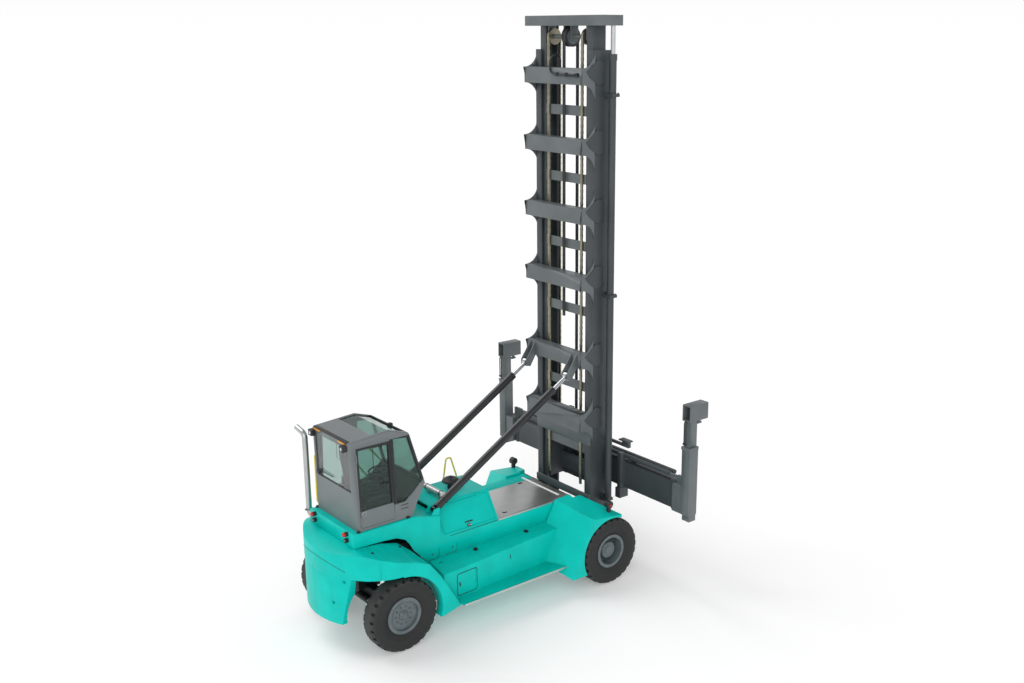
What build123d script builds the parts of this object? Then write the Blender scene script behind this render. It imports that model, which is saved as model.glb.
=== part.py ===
from build123d import *
import math
import os

# Empty container handler. Millimetres, +X forward to the mast, +Y left, +Z up.
# All places below are measured from the drive axle's centre on the ground; the finished pieces
# are moved along X so that the origin is at the middle of the machine's base.

# Driving dimensions: running gear
TYRE_R = 685
TYRE_W = 375
RIM_SEAT_R = 305
RIM_FLANGE_R = 345
RIM_EDGE = 40
TWIN_PITCH = 420
DRIVE_FACE_Y = 1740
STEER_FACE_Y = 1349
WHEELBASE = 4600
LUG_COUNT = 26
LUG_DEPTH = 40
LUG_GAP = 58
LUG_REACH = 100
KINGPIN_Y = 880
KINGPIN_R = 45
SPINDLE_R = 80
DRIVE_TUBE_R = 170
DRIVE_SPINDLE_R = 110
RUN = 0.05
SLIDE = 0.4
SEAT = 0.2
PANEL_GAP = 6

# Driving dimensions: mast
MAST_REAR = 180
MAST_FRONT = 620
MAST_HALF = 850
MAST_WEB = 50
MAST_FLANGE = 40
MAST_CHANNEL = 160
MAST_FOOT_Z = 400
OUTER_TOP = 10400
INNER_REAR = 240
INNER_FRONT = 560
INNER_HALF = 770
INNER_WALL = 35
INNER_CHANNEL = 170
INNER_FOOT_Z = 950
INNER_RAISED = 438
TOP_BEAM_Z = OUTER_TOP + INNER_RAISED
TOP_BEAM_H = 188
TOP_BEAM_HALF = 1120
TOP_BEAM_OVER = 104
BOW_REAR = -90
BOW_FRONT = 140
BOW_R = 310
BOW_PLATE = 25
BOW_FLANGE = 20
CHEEK_T = 20
LIFT_EYE = (140, 10110)
LIFT_EYE_R = 28
LIFT_X = 540
LIFT_Y = 1000
LIFT_BARREL_R = 70
LIFT_ROD_R = 45
LIFT_SEAT_T = 60
LIFT_SEAT_HALF = 75
CLAMP_LEVELS = (9550, 5700)
CLAMP_HALF = 90
CLAMP_OVER = 30
CLAMP_H = 60
GLAND_OVER = 10
GLAND_H = 120
LIFT_FOOT_Z = 1480
LIFT_GLAND_DROP = 70
LIFT_GLAND_Z = OUTER_TOP - LIFT_GLAND_DROP
TILT_Y = 652
TILT_BASE = (-3480, 2205)
TILT_EYE = (-275, 4167)
TILT_BARREL_R = 75
TILT_ROD_R = 42
TILT_PIN_R = 35
TILT_DRIFT = 4

# Driving dimensions: carriage and spreader
CARRIAGE_LOW = 1550
CARRIAGE_HIGH = 2950
CARRIAGE_FACE = 740
RAIL_H = 110
CARRIAGE_PLATE = (1700, 2050)
BEAM_REAR = 900
BEAM_FRONT = 1150
BEAM_LOW = 1640
BEAM_HIGH = 2200
BEAM_WALL = 15
ARM_LENGTH = 4300
HEAD_OUT = 3031
HEAD_WIDE = 210
ARM_SHOWING = 261
BEAM_HALF = HEAD_OUT - HEAD_WIDE - ARM_SHOWING
COLLAR_T = 14
SKID_Y = 1050
SKID_LOW = 1430
SKID_HIGH = 2400
HOSE_ARM_IN = -560
HOSE_ARM_OUT = -1310
HOSE_ARM_Z = 2570
EXTEND_X = {1: 1090, -1: 960}
EXTEND_Z = BEAM_HIGH + 110
EXTEND_R = 46
EXTEND_ROD_R = 28
EXTEND_GLAND = BEAM_HALF - 200
EXTEND_START = -EXTEND_GLAND
HEAD_REAR = 777
HEAD_FRONT = 1262
HEAD_LOW = 3580
HEAD_HIGH = 3900
HEAD_WALL = 20
POST_REAR = 790
POST_FRONT = 1020
POST_WALL = 25
SLEEVE_LOW = 1520
SLEEVE_HIGH = 3050
POST_LOW = 1990

# Driving dimensions: body
REAR_FACE = -5650
BODY_HALF = 790
TANK_TOP = 1270
TANK_EDGE = 1170
TANK_LOW = 560
TANK_REAR = -3700
TANK_FRONT = -800
DECK_Z = 1660
DECK_FRONT = -280
DECK_PLATE_T = 30
DECK_PLATE_LEFT = 460
HOOD_REAR = -3450
HOOD_FRONT = -2110
HOOD_TOP = 2200
HOOD_TOP_HALF = 450
HOOD_ROUND = 40
SHEET = 25
PLATFORM_TOP = 2250
PLATFORM_FRONT = -3980
SHOULDER_Z = 2110
SHOULDER_REAR = -4000
PLATFORM_REAR = -5260
PLATFORM_ROUND = 22
BAND_LOW = 1470
FENDER_ARCH = 760
TURN_ARCH = 900
SKIRT_LOW = 450
SKIRT_IN = 1200
REAR_OUT = 1430

# Driving dimensions: cab
CAB_FLOOR = PLATFORM_TOP
CAB_ROOF = 3890
CAB_FLOOR_HALF = 736
CAB_ROOF_HALF = 643
CAB_WALL = 55
CAB_ROUND = 40
GLASS_T = 10
CAB_CREST = (-4350, 3950)
CAB_PROFILE = (
    (-5130, CAB_FLOOR),
    (-5200, CAB_ROOF),
    CAB_CREST,
    (-3970, 3825),
    (-3700, 2830),
    (-4020, CAB_FLOOR),
)
DOOR_REAR = -5055
DOOR_FRONT = -4365
DOOR_LOW = 2300
DOOR_SILL = 2610
DOOR_HIGH = 3760
DOOR_STILE = 42

AXLE_Z = TYRE_R
CAB_LEAN = (CAB_FLOOR_HALF - CAB_ROOF_HALF) / (CAB_ROOF - CAB_FLOOR)
CHEEK_OUT = MAST_HALF + CHEEK_T
STEER_X = -WHEELBASE
FRAME_SHIFT = -(REAR_FACE + HEAD_FRONT) / 2

# Bow beams of the outer mast: lower edge and upper edge
BOWS = (
    (9774, 10074),
    (8485, 8775),
    (7179, 7469),
    (5880, 6166),
    (4308, 4590),
    (2990, 3350),
)
TILT_BOW = BOWS[4]

# Cross bars of the inner mast: middle height and depth
CROSS_BARS = tuple((low - 500, 190) for low, high in BOWS)


def block(x0, x1, y0, y1, z0, z1):
    """A box between six planes."""
    return Pos((x0 + x1) / 2, (y0 + y1) / 2, (z0 + z1) / 2) * Box(x1 - x0, y1 - y0, z1 - z0)


def prism_x(points, x0, x1):
    """A (y, z) outline drawn out along X."""
    face = make_face(Polyline(*[(x0, y, z) for y, z in points], close=True))
    return extrude(face, amount=x1 - x0, dir=(1, 0, 0))


def prism_y(points, y0, y1):
    """An (x, z) outline drawn out along Y."""
    face = make_face(Polyline(*[(x, y0, z) for x, z in points], close=True))
    return extrude(face, amount=y1 - y0, dir=(0, 1, 0))


def prism_z(points, z0, z1):
    """An (x, y) outline drawn out along Z."""
    face = make_face(Polyline(*[(x, y, z0) for x, y in points], close=True))
    return extrude(face, amount=z1 - z0, dir=(0, 0, 1))


def rod(start, end, radius):
    """A round bar between two points."""
    start = Vector(*start)
    run = Vector(*end) - start
    bar = Cylinder(radius, run.length, align=(Align.CENTER, Align.CENTER, Align.MIN))
    return Plane(origin=start, z_dir=run) * bar


def bent_bar(points, radius, bend):
    """A round bar through points, with its corners rounded."""
    path = FilletPolyline(*points, radius=bend)
    section = Plane(origin=path @ 0, z_dir=path % 0) * Circle(radius)
    return sweep(section, path=path)


def turned(points):
    """A solid turned about the Y axis from (y, r) points."""
    face = make_face(Polyline(*[(r, y, 0) for y, r in points], close=True))
    return revolve(face, axis=Axis.Y)


def inset(points, distance):
    """A convex outline moved inward by a distance."""
    count = len(points)
    turned = [*points[1:], points[0]]
    area = sum(a[0] * b[1] - b[0] * a[1] for a, b in zip(points, turned))
    sign = 1 if area > 0 else -1
    lines = []
    for i in range(count):
        (ax, ay), (bx, by) = points[i], points[(i + 1) % count]
        length = math.hypot(bx - ax, by - ay)
        nx = -sign * (by - ay) / length
        ny = sign * (bx - ax) / length
        lines.append((nx, ny, nx * ax + ny * ay + distance))
    moved = []
    for i in range(count):
        a1, b1, c1 = lines[i - 1]
        a2, b2, c2 = lines[i]
        det = a1 * b2 - a2 * b1
        moved.append(((c1 * b2 - c2 * b1) / det, (a1 * c2 - a2 * c1) / det))
    return moved


def both(shape):
    """A shape on the left side and its mirror image on the right."""
    return shape + mirror(shape, about=Plane.XZ)


def pair(shape):
    """A left piece and its mirror image, kept apart."""
    return Compound([shape, mirror(shape, about=Plane.XZ)])


def on_side(shape, side):
    """A shape modelled on the left, kept there or mirrored to the right."""
    return shape if side > 0 else mirror(shape, about=Plane.XZ)


# Running gear


def tyre(face_y):
    """One tyre on the left, its outer face at face_y, with notches between its shoulder lugs."""
    half = TYRE_W / 2
    bead = half - RIM_EDGE - 22
    profile = (
        (-bead, RIM_SEAT_R + SEAT),
        (-bead, RIM_FLANGE_R + 10),
        (-half, RIM_FLANGE_R + 130),
        (-half, TYRE_R - 120),
        (-half + 22, TYRE_R - 22),
        (-half + 70, TYRE_R),
        (half - 70, TYRE_R),
        (half - 22, TYRE_R - 22),
        (half, TYRE_R - 120),
        (half, RIM_FLANGE_R + 130),
        (bead, RIM_FLANGE_R + 10),
        (bead, RIM_SEAT_R + SEAT),
    )
    body = turned(profile)
    notch_r = TYRE_R - LUG_DEPTH
    notch = block(-LUG_GAP / 2, LUG_GAP / 2, half - LUG_REACH, half + 1, notch_r, TYRE_R + 1)
    far = block(-LUG_GAP / 2, LUG_GAP / 2, -half - 1, -half + LUG_REACH, notch_r, TYRE_R + 1)
    pitch = 360 / LUG_COUNT
    cuts = []
    for i in range(LUG_COUNT):
        cuts.append(Rot(0, i * pitch, 0) * notch)
        cuts.append(Rot(0, (i + 0.5) * pitch, 0) * far)
    return Pos(0, face_y - half, 0) * (body - cuts)


def rim_barrel(face_y):
    """The rim that carries one tyre: a barrel with a flange at each edge, outer face at face_y."""
    outer = face_y - RIM_EDGE
    inner = face_y - TYRE_W + RIM_EDGE
    wall = 20
    lip = 20
    return (
        (outer, RIM_SEAT_R - wall),
        (outer, RIM_FLANGE_R),
        (outer - lip, RIM_FLANGE_R),
        (outer - lip, RIM_SEAT_R),
        (inner + lip, RIM_SEAT_R),
        (inner + lip, RIM_FLANGE_R),
        (inner, RIM_FLANGE_R),
        (inner, RIM_SEAT_R - wall),
    )


def drive_rims():
    """Twin rims, the band between them, the deep disc and the hub drum, as one turned piece."""
    outer = turned(rim_barrel(DRIVE_FACE_Y))
    inner = turned(rim_barrel(DRIVE_FACE_Y - TWIN_PITCH))
    band_r = RIM_SEAT_R - 20
    disc_y = DRIVE_FACE_Y - TYRE_W + 70
    band = turned(
        (
            (disc_y + 40, band_r - 25),
            (disc_y + 40, band_r + 1),
            (DRIVE_FACE_Y - TWIN_PITCH - RIM_EDGE - 40, band_r + 1),
            (DRIVE_FACE_Y - TWIN_PITCH - RIM_EDGE - 40, band_r - 25),
        )
    )
    drum_y = DRIVE_FACE_Y - 110
    hub_r = DRIVE_SPINDLE_R + 60
    hub = turned(
        (
            (drum_y, 0),
            (drum_y, hub_r - 15),
            (drum_y - 15, hub_r),
            (disc_y + 30, hub_r),
            (disc_y + 30, band_r - 24),
            (disc_y, band_r - 24),
            (disc_y, DRIVE_SPINDLE_R + RUN),
            (drum_y - 25, DRIVE_SPINDLE_R + RUN),
            (drum_y - 25, 0),
        )
    )
    return Pos(0, 0, AXLE_Z) * (outer + inner + band + hub)


def drive_tyres():
    """The two tyres of one side, apart from each other."""
    return Pos(0, 0, AXLE_Z) * Compound([tyre(DRIVE_FACE_Y), tyre(DRIVE_FACE_Y - TWIN_PITCH)])


def drive_axle():
    """The drive axle: centre casing, tubes and spindles."""
    tube_end = DRIVE_FACE_Y - TWIN_PITCH - TYRE_W - 40
    spindle_end = DRIVE_FACE_Y - 145
    arms = rod((0, -tube_end, AXLE_Z), (0, tube_end, AXLE_Z), DRIVE_TUBE_R)
    spindle = rod((0, -spindle_end, AXLE_Z), (0, spindle_end, AXLE_Z), DRIVE_SPINDLE_R)
    casing = Pos(-130, 0, AXLE_Z) * turned(
        ((-340, 0), (-340, 150), (-200, 285), (200, 285), (340, 150), (340, 0))
    )
    pinion = rod((-300, 0, AXLE_Z), (-720, 0, AXLE_Z), 130)
    return arms + spindle + casing + pinion


def steer_rim():
    """One steer rim on the left: barrel, disc, hub and round hub cap."""
    barrel = turned(rim_barrel(STEER_FACE_Y))
    disc_y = STEER_FACE_Y - 110
    hub_r = SPINDLE_R + 55
    inner_y = STEER_FACE_Y - TYRE_W + 25
    cap_y = STEER_FACE_Y - 45
    hub = turned(
        (
            (cap_y, 0),
            (cap_y, 70),
            (cap_y - 25, 95),
            (disc_y + 22, 95),
            (disc_y + 22, RIM_SEAT_R - 19),
            (disc_y, RIM_SEAT_R - 19),
            (disc_y, hub_r),
            (inner_y, hub_r),
            (inner_y, SPINDLE_R + RUN),
            (disc_y - 10, SPINDLE_R + RUN),
            (disc_y - 10, 0),
        )
    )
    return Pos(STEER_X, 0, AXLE_Z) * (barrel + hub)


def steer_tyre():
    return Pos(STEER_X, 0, AXLE_Z) * tyre(STEER_FACE_Y)


FORK_GAP = 115
FORK_T = 45
FORK_R = 86
STEER_ARM_T = 45


def knuckle():
    """Steer knuckle on the left: kingpin, block, spindle and steering arm."""
    pin_low = AXLE_Z - FORK_GAP - FORK_T - 15
    fork_top = AXLE_Z + FORK_GAP + FORK_T
    pin_high = fork_top + STEER_ARM_T + 5
    pin = rod((STEER_X, KINGPIN_Y, pin_low), (STEER_X, KINGPIN_Y, pin_high), KINGPIN_R)
    low = AXLE_Z - FORK_GAP + SLIDE
    high = AXLE_Z + FORK_GAP - SLIDE
    swivel = rod((STEER_X, KINGPIN_Y, low), (STEER_X, KINGPIN_Y, high), FORK_R - 4)
    spindle_end = STEER_FACE_Y - 130
    spindle = rod((STEER_X, KINGPIN_Y, AXLE_Z), (STEER_X, spindle_end, AXLE_Z), SPINDLE_R)
    arm = block(STEER_X - 60, STEER_X + 240, KINGPIN_Y - 60, KINGPIN_Y + 60, fork_top + 5, pin_high)
    return pin + swivel + spindle + arm


def steer_axle():
    """The steer axle: box beam, forked ends, pivot boss and the steering cylinder along its rear."""
    beam_half = KINGPIN_Y - FORK_R - 12
    beam = block(STEER_X - 92, STEER_X + 92, -beam_half, beam_half, AXLE_Z - 130, AXLE_Z + 130)
    for level in (-1, 1):
        z0 = AXLE_Z + level * FORK_GAP
        z1 = AXLE_Z + level * (FORK_GAP + FORK_T)
        z0, z1 = min(z0, z1), max(z0, z1)
        plate = block(STEER_X - FORK_R, STEER_X + FORK_R, -KINGPIN_Y, KINGPIN_Y, z0, z1)
        ends = both(rod((STEER_X, KINGPIN_Y, z0), (STEER_X, KINGPIN_Y, z1), FORK_R))
        bore = both(rod((STEER_X, KINGPIN_Y, z0 - 1), (STEER_X, KINGPIN_Y, z1 + 1), KINGPIN_R + RUN))
        beam = beam + plate + ends - bore
    boss = rod((STEER_X - 230, 0, AXLE_Z + 150), (STEER_X + 230, 0, AXLE_Z + 150), 85)
    cylinder_x = STEER_X - 150
    cylinder_z = AXLE_Z - 50
    cylinder = rod((cylinder_x, -330, cylinder_z), (cylinder_x, 330, cylinder_z), 62)
    cylinder_rod = rod((cylinder_x, -470, cylinder_z), (cylinder_x, 470, cylinder_z), 30)
    saddle = block(cylinder_x, STEER_X, -60, 60, cylinder_z - 60, cylinder_z + 60)
    return beam + boss + cylinder + cylinder_rod + saddle


# Body and frame


FRAME_Y = 420
FRAME_T = 40
FRAME_LOW = 420
ENGINE_LOW = 560
BAY_FRONT = TANK_REAR


def main_frame():
    """Side plates, cross members, the deck over the steer axle and its pivot hangers."""
    plates = both(block(BAY_FRONT, -230, FRAME_Y, FRAME_Y + FRAME_T, FRAME_LOW, TANK_TOP))
    cross = []
    for x, top in ((-3200, ENGINE_LOW), (-1850, ENGINE_LOW), (-1500, 1100), (-760, 1100)):
        cross.append(block(x, x + FRAME_T, -FRAME_Y - 1, FRAME_Y + 1, FRAME_LOW + 60, top))
    clamp = block(-330, 0, FRAME_Y - 60, FRAME_Y + FRAME_T + 60, AXLE_Z - 190, AXLE_Z + 190)
    clamp = clamp - rod((0, 300, AXLE_Z), (0, 600, AXLE_Z), DRIVE_TUBE_R)
    half = FRAME_Y + FRAME_T
    rear = block(PLATFORM_REAR, BAY_FRONT + FRAME_T, -half, half, BAND_LOW, DECK_Z - SHEET)
    bulkhead = block(BAY_FRONT, BAY_FRONT + FRAME_T, -FRAME_Y - 1, FRAME_Y + 1, FRAME_LOW, BAND_LOW + 100)
    hangers = []
    pivot_z = AXLE_Z + 150
    for x in (STEER_X - 230, STEER_X + 150):
        ear = block(x, x + 80, -110, 110, pivot_z, BAND_LOW)
        ear = ear + rod((x, 0, pivot_z), (x + 80, 0, pivot_z), 110)
        hangers.append(ear - rod((x - 1, 0, pivot_z), (x + 81, 0, pivot_z), 85))
    return plates + cross + both(clamp) + rear + bulkhead + hangers


def engine_block():
    return block(-3350, -1540, -FRAME_Y + 30, FRAME_Y - 30, ENGINE_LOW, DECK_Z - SHEET - 40)


def centre_body():
    """The body shell: side walls at both sides, the deck rim, and the cab platform over the steer bay."""
    outline = (
        (PLATFORM_REAR, PLATFORM_TOP),
        (PLATFORM_FRONT, PLATFORM_TOP),
        (HOOD_REAR, SHOULDER_Z),
        (HOOD_REAR, DECK_Z),
        (DECK_FRONT, DECK_Z),
        (DECK_FRONT, TANK_TOP),
        (-3740, TANK_TOP),
        (-4032, 1593),
        (-4119, 1748),
        (-4207, 1860),
        (-4390, 1945),
        (-4640, 1970),
        (PLATFORM_REAR, 1995),
    )
    solid = prism_y(outline, -BODY_HALF, BODY_HALF)
    platform = solid.faces().sort_by(Axis.Z)[-1]
    solid = fillet(platform.edges().sort_by(Axis.X)[:-1], PLATFORM_ROUND)
    space_half = BODY_HALF - SHEET
    hollow = block(HOOD_REAR - 200, DECK_FRONT - SHEET, -space_half, space_half, TANK_TOP - 1, DECK_Z - SHEET)
    under_hood = (HOOD_REAR + SHEET, HOOD_FRONT, DECK_Z - SHEET - 1, DECK_Z + 1)
    under_shoulder = (SHOULDER_REAR, HOOD_REAR - SHEET, TANK_TOP - 1, SHOULDER_Z - SHEET)
    for x0, x1, z0, z1 in (under_hood, under_shoulder):
        hollow = hollow + block(x0, x1, -space_half, space_half, z0, z1)
    rear_space = block(PLATFORM_REAR + SHEET, -4000, -space_half, space_half, BAND_LOW, PLATFORM_TOP - SHEET)
    plates = block(HOOD_FRONT, DECK_FRONT, -BODY_HALF, DECK_PLATE_LEFT, DECK_Z - SHEET - 1, DECK_Z + 1)
    return solid - hollow - rear_space - plates


HAND_SLOTS = ((-1806, -596), (-663, 390))


def deck_plates():
    """Plain cover plates over the transmission, with hand slots."""
    low = DECK_Z - SHEET
    plate = block(HOOD_FRONT, DECK_FRONT, -BODY_HALF, DECK_PLATE_LEFT, low, low + DECK_PLATE_T)
    for x, y in HAND_SLOTS:
        plate = plate - block(x - 55, x + 55, y - 30, y + 30, low - 1, low + DECK_PLATE_T + 1)
    return plate


HATCH_REAR = HOOD_REAR + 110
HATCH_FRONT = HOOD_FRONT - 50
HATCH_LOW = DECK_Z + 40
HATCH_HIGH = HOOD_TOP - 45


def hood_shell():
    outline = (
        (-BODY_HALF, DECK_Z),
        (-HOOD_TOP_HALF, HOOD_TOP),
        (HOOD_TOP_HALF, HOOD_TOP),
        (BODY_HALF, DECK_Z),
    )
    solid = prism_x(outline, HOOD_REAR, HOOD_FRONT)
    solid = fillet(solid.faces().sort_by(Axis.Z)[-1].edges().filter_by(Axis.X), HOOD_ROUND)
    space = prism_x(inset(outline, SHEET), HOOD_REAR - 1, HOOD_FRONT - SHEET)
    return solid - space - block(HOOD_REAR, HOOD_FRONT - SHEET, -740, 740, DECK_Z - 1, DECK_Z + SHEET + 1)


def hood_slope_y(z):
    """Half width of the hood's sloping side at a height."""
    share = (z - DECK_Z) / (HOOD_TOP - DECK_Z)
    return BODY_HALF + share * (HOOD_TOP_HALF - BODY_HALF)


HINGE_R = 16
HINGE_PIN_R = 8
HINGE_LENGTH = 150


def hinge_pair(middle, direction):
    """A hinge's fixed knuckles with pin, its moving barrel, and the room that each leaves the other."""
    direction = Vector(*direction).normalized()
    middle = Vector(*middle)

    def bar(start, end, radius):
        return rod(tuple(middle + direction * start), tuple(middle + direction * end), radius)

    half = HINGE_LENGTH / 2
    third = HINGE_LENGTH / 6
    fixed = bar(-half, -third - 1, HINGE_R) + bar(third + 1, half, HINGE_R) + bar(-half, half, HINGE_PIN_R)
    moving = bar(-third, third, HINGE_R) - bar(-half, half, HINGE_PIN_R + SLIDE)
    room_fixed = bar(-third - 2, third + 2, HINGE_R + 4)
    room_moving = bar(-half - 3, -third + 0.5, HINGE_R + 4) + bar(third - 0.5, half + 3, HINGE_R + 4)
    pin_room = bar(-half - 1, half + 1, HINGE_PIN_R + SLIDE)
    return fixed, moving, room_fixed, room_moving + pin_room


def hang(frame, panel, hinges):
    """Put hinges between a frame and its panel."""
    for middle, direction in hinges:
        fixed, moving, room_fixed, room_moving = hinge_pair(middle, direction)
        frame = (frame - room_fixed) + fixed
        panel = (panel - room_moving) + moving
    return frame, panel


def hood_parts():
    """The hood and its two side hatches, hinged along their upper edges."""
    shell = hood_shell()
    hood = shell
    hatches = {}
    hinge_z = HATCH_HIGH
    hinge_y = hood_slope_y(hinge_z)
    for side in (1, -1):
        window = on_side(block(HATCH_REAR, HATCH_FRONT, 300, 900, HATCH_LOW, HATCH_HIGH), side)
        gap = PANEL_GAP
        leaf = on_side(
            block(HATCH_REAR + gap, HATCH_FRONT - gap, 300, 900, HATCH_LOW + gap, HATCH_HIGH - gap), side
        )
        panel = shell & leaf
        hood = hood - window
        hinges = [((x, side * hinge_y, hinge_z), (1, 0, 0)) for x in (HATCH_REAR + 200, HATCH_FRONT - 200)]
        hood, panel = hang(hood, panel, hinges)
        hatches[side] = panel
    return hood, hatches


TANK_FACE_REAR = 1250
TANK_FACE_FRONT = 1060
STEP_OUT = 1500
STEP_Z = 600
TREAD_REAR = TANK_REAR + 260
STEP_IN = 960
STEP_LEVELS = (680, 980)
STEP_REAR = -3020
STEP_LENGTH = 460
STEP_H = 190
TANK_HATCH = (-3395, -2960, 640, 1075)


def tank_face_y(x):
    share = (x - TANK_REAR) / (TANK_FRONT - TANK_REAR)
    return TANK_FACE_REAR + share * (TANK_FACE_FRONT - TANK_FACE_REAR)


def side_tank():
    """A side tank on the left: tapered in plan, its top falling outward, with a flat tread along its foot."""
    inner = FRAME_Y + FRAME_T
    plan = (
        (TANK_REAR, inner),
        (TANK_FRONT, inner),
        (TANK_FRONT, TANK_FACE_FRONT),
        (TANK_REAR, TANK_FACE_REAR),
    )
    body = prism_z(plan, TANK_LOW, TANK_TOP)
    fall = (TANK_TOP - TANK_EDGE) / (TANK_FACE_REAR - BODY_HALF)
    edge_z = TANK_TOP - fall * (STEP_OUT - BODY_HALF)
    over = ((BODY_HALF, TANK_TOP), (STEP_OUT, edge_z), (STEP_OUT, TANK_TOP + 1))
    body = body - prism_x(over, TANK_REAR, TANK_FRONT)
    tread = block(TREAD_REAR, TANK_FRONT, inner, STEP_OUT, TANK_LOW, STEP_Z)
    return body + tread - front_fender_facets()


def step_strip():
    """The bright edge along the foot of a tank's tread."""
    strip = block(TREAD_REAR, TANK_FRONT, STEP_OUT, STEP_OUT + 18, TANK_LOW + 4, STEP_Z)
    return strip - front_fender_facets()


def tank_parts():
    """Both tanks, and the hatch in the right one, hinged at its front edge."""
    left = side_tank()
    right = mirror(left, about=Plane.XZ)
    for z in STEP_LEVELS:
        left = left - block(STEP_REAR, STEP_REAR + STEP_LENGTH, STEP_IN, STEP_OUT, z, z + STEP_H)
    x0, x1, z0, z1 = TANK_HATCH
    depth = 30
    gap = PANEL_GAP
    near, far = tank_face_y(x0), tank_face_y(x1)
    plan = ((x0, near), (x1, far), (x1, far - depth), (x0, near - depth))
    cut = ((x0, near + 1), (x1, far + 1), (x1, far - depth), (x0, near - depth))
    pocket = mirror(prism_z(cut, z0, z1), about=Plane.XZ)
    leaf_box = block(x0 + gap, x1 - gap, -2000, 0, z0 + gap, z1 - gap)
    thin = [(x, y if i < 2 else y + gap) for i, (x, y) in enumerate(plan)]
    leaf = mirror(prism_z(thin, z0, z1), about=Plane.XZ) & leaf_box
    right = right - pocket
    hinge_x = x1
    hinges = [((hinge_x, -tank_face_y(hinge_x), z), (0, 0, 1)) for z in (z0 + 100, z1 - 100)]
    right, leaf = hang(right, leaf, hinges)
    return left, right, leaf


FRONT_FENDER_OUT = 1720
FRONT_FENDER_IN = 800
FRONT_FENDER_OUTER = ((-1000, 360), (270, 360), (270, 1415), (-460, 1490))
FRONT_FENDER_INNER = ((-1300, 640), (-200, 640), (-200, DECK_Z + 55), (-720, DECK_Z + 40))
FRONT_ARCH = TYRE_R + 25
MAST_BAY_REAR = -330
MAST_BAY_HALF = 900


def front_fender_facets():
    """The front fender's full form on the left: two outlines joined by flat facets."""
    sections = []
    for outline, y in ((FRONT_FENDER_INNER, FRONT_FENDER_IN), (FRONT_FENDER_OUTER, FRONT_FENDER_OUT)):
        sections.append(Wire(Polyline(*[(x, y, z) for x, z in outline], close=True).edges()))
    return Solid.make_loft(sections, ruled=True)


def front_fender():
    """Front fender on the left, open round the twin wheels and beside the mast."""
    wheel = rod((0, MAST_BAY_HALF, AXLE_Z), (0, FRONT_FENDER_OUT + 60, AXLE_Z), FRONT_ARCH)
    bay = block(MAST_BAY_REAR, 400, 0, MAST_BAY_HALF, 0, 3000)
    return front_fender_facets() - wheel - bay


# Rear fenders and counterweight


# Upper edge of the rear body, from the rear to the skirt's foot: x and z at the body's wall, x and z outside
REAR_EDGE = (
    (REAR_FACE, 1880, REAR_FACE, 1900),
    (PLATFORM_REAR, 1985, -5160, 1860),
    (-4750, 1950, -4750, 1745),
    (-4400, 1860, -4350, 1650),
    (-4130, 1640, -4080, 1550),
    (-3790, 1290, -3860, 1250),
    (-3700, 560, -3450, 560),
    (-3840, SKIRT_LOW, -3840, SKIRT_LOW),
    (REAR_FACE, SKIRT_LOW, REAR_FACE, SKIRT_LOW),
)
BAND_SPLIT = -4990
ARCH_FRONT = -4160


def rear_plan():
    """Rounded plan of the rear body, drawn up over its whole height."""
    arc_rear = ThreePointArc((-5440, 760), (REAR_FACE, 0), (-5440, -760))
    right_corner = ThreePointArc((-5440, -760), (-5160, -1120), (-4700, -1340))
    right_side = Line((-4700, -1340), (-3400, -1423))
    front = Line((-3400, -1423), (-3400, 1423))
    left_side = Line((-3400, 1423), (-4700, 1340))
    left_corner = ThreePointArc((-4700, 1340), (-5160, 1120), (-5440, 760))
    face = make_face(Curve() + [arc_rear, right_corner, right_side, front, left_side, left_corner])
    return extrude(face, amount=PLATFORM_TOP, dir=(0, 0, 1))


def rear_side():
    """Full rear form on the left: the inner and outer side views joined by flat facets."""
    sections = []
    inner_edge = [row[:2] for row in REAR_EDGE]
    outer_edge = [row[2:] for row in REAR_EDGE]
    for y, outline in ((BODY_HALF, inner_edge), (REAR_OUT, outer_edge)):
        sections.append(Wire(Polyline(*[(x, y, z) for x, z in outline], close=True).edges()))
    return Solid.make_loft(sections, ruled=True)


def counterweight_upper():
    """The rear body behind the steer wheels, cast as one piece under the cab platform."""
    middle = prism_y([row[:2] for row in REAR_EDGE], -BODY_HALF, BODY_HALF)
    solid = (both(rear_side()) + middle) & rear_plan()
    solid = solid & block(REAR_FACE, BAND_SPLIT, -REAR_OUT, REAR_OUT, BAND_LOW, PLATFORM_TOP)
    rear_frame = block(PLATFORM_REAR, 0, -FRAME_Y - FRAME_T, FRAME_Y + FRAME_T, BAND_LOW, DECK_Z - SHEET)
    return solid - rear_frame


def rear_fender():
    """Rear fender on the left: the crown over the wheel, its front wall, and a skirt down the arch."""
    form = rear_side() & rear_plan()
    crown = form & block(BAND_SPLIT, 0, BODY_HALF, REAR_OUT, BAND_LOW, PLATFORM_TOP)
    inside = block(BAND_SPLIT, ARCH_FRONT, FRAME_Y + FRAME_T, BODY_HALF, BAND_LOW, DECK_Z - SHEET)
    wall = form & block(ARCH_FRONT, 0, BODY_HALF, SKIRT_IN, TANK_TOP, BAND_LOW)
    wall = wall - rod((STEER_X, 0, AXLE_Z), (STEER_X, REAR_OUT, AXLE_Z), TURN_ARCH)
    skirt = form & block(STEER_X, 0, SKIRT_IN, REAR_OUT, 0, BAND_LOW)
    skirt = skirt - rod((STEER_X, 0, AXLE_Z), (STEER_X, REAR_OUT, AXLE_Z), FENDER_ARCH)
    return crown + inside + (wall + skirt - side_tank())


SLAB_LOW = 550
SLAB_HALF = 850
SLAB_FOOT_HALF = 660
SLAB_CORNER = -5380
SLAB_FRONT = -5280
# Lifting holes of one side: place out from the middle, height
SLAB_HOLES = ((725, 1400), (499, 953))
SLAB_HOLE_R = 32
SLAB_HOLE_DEPTH = 60


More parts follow.
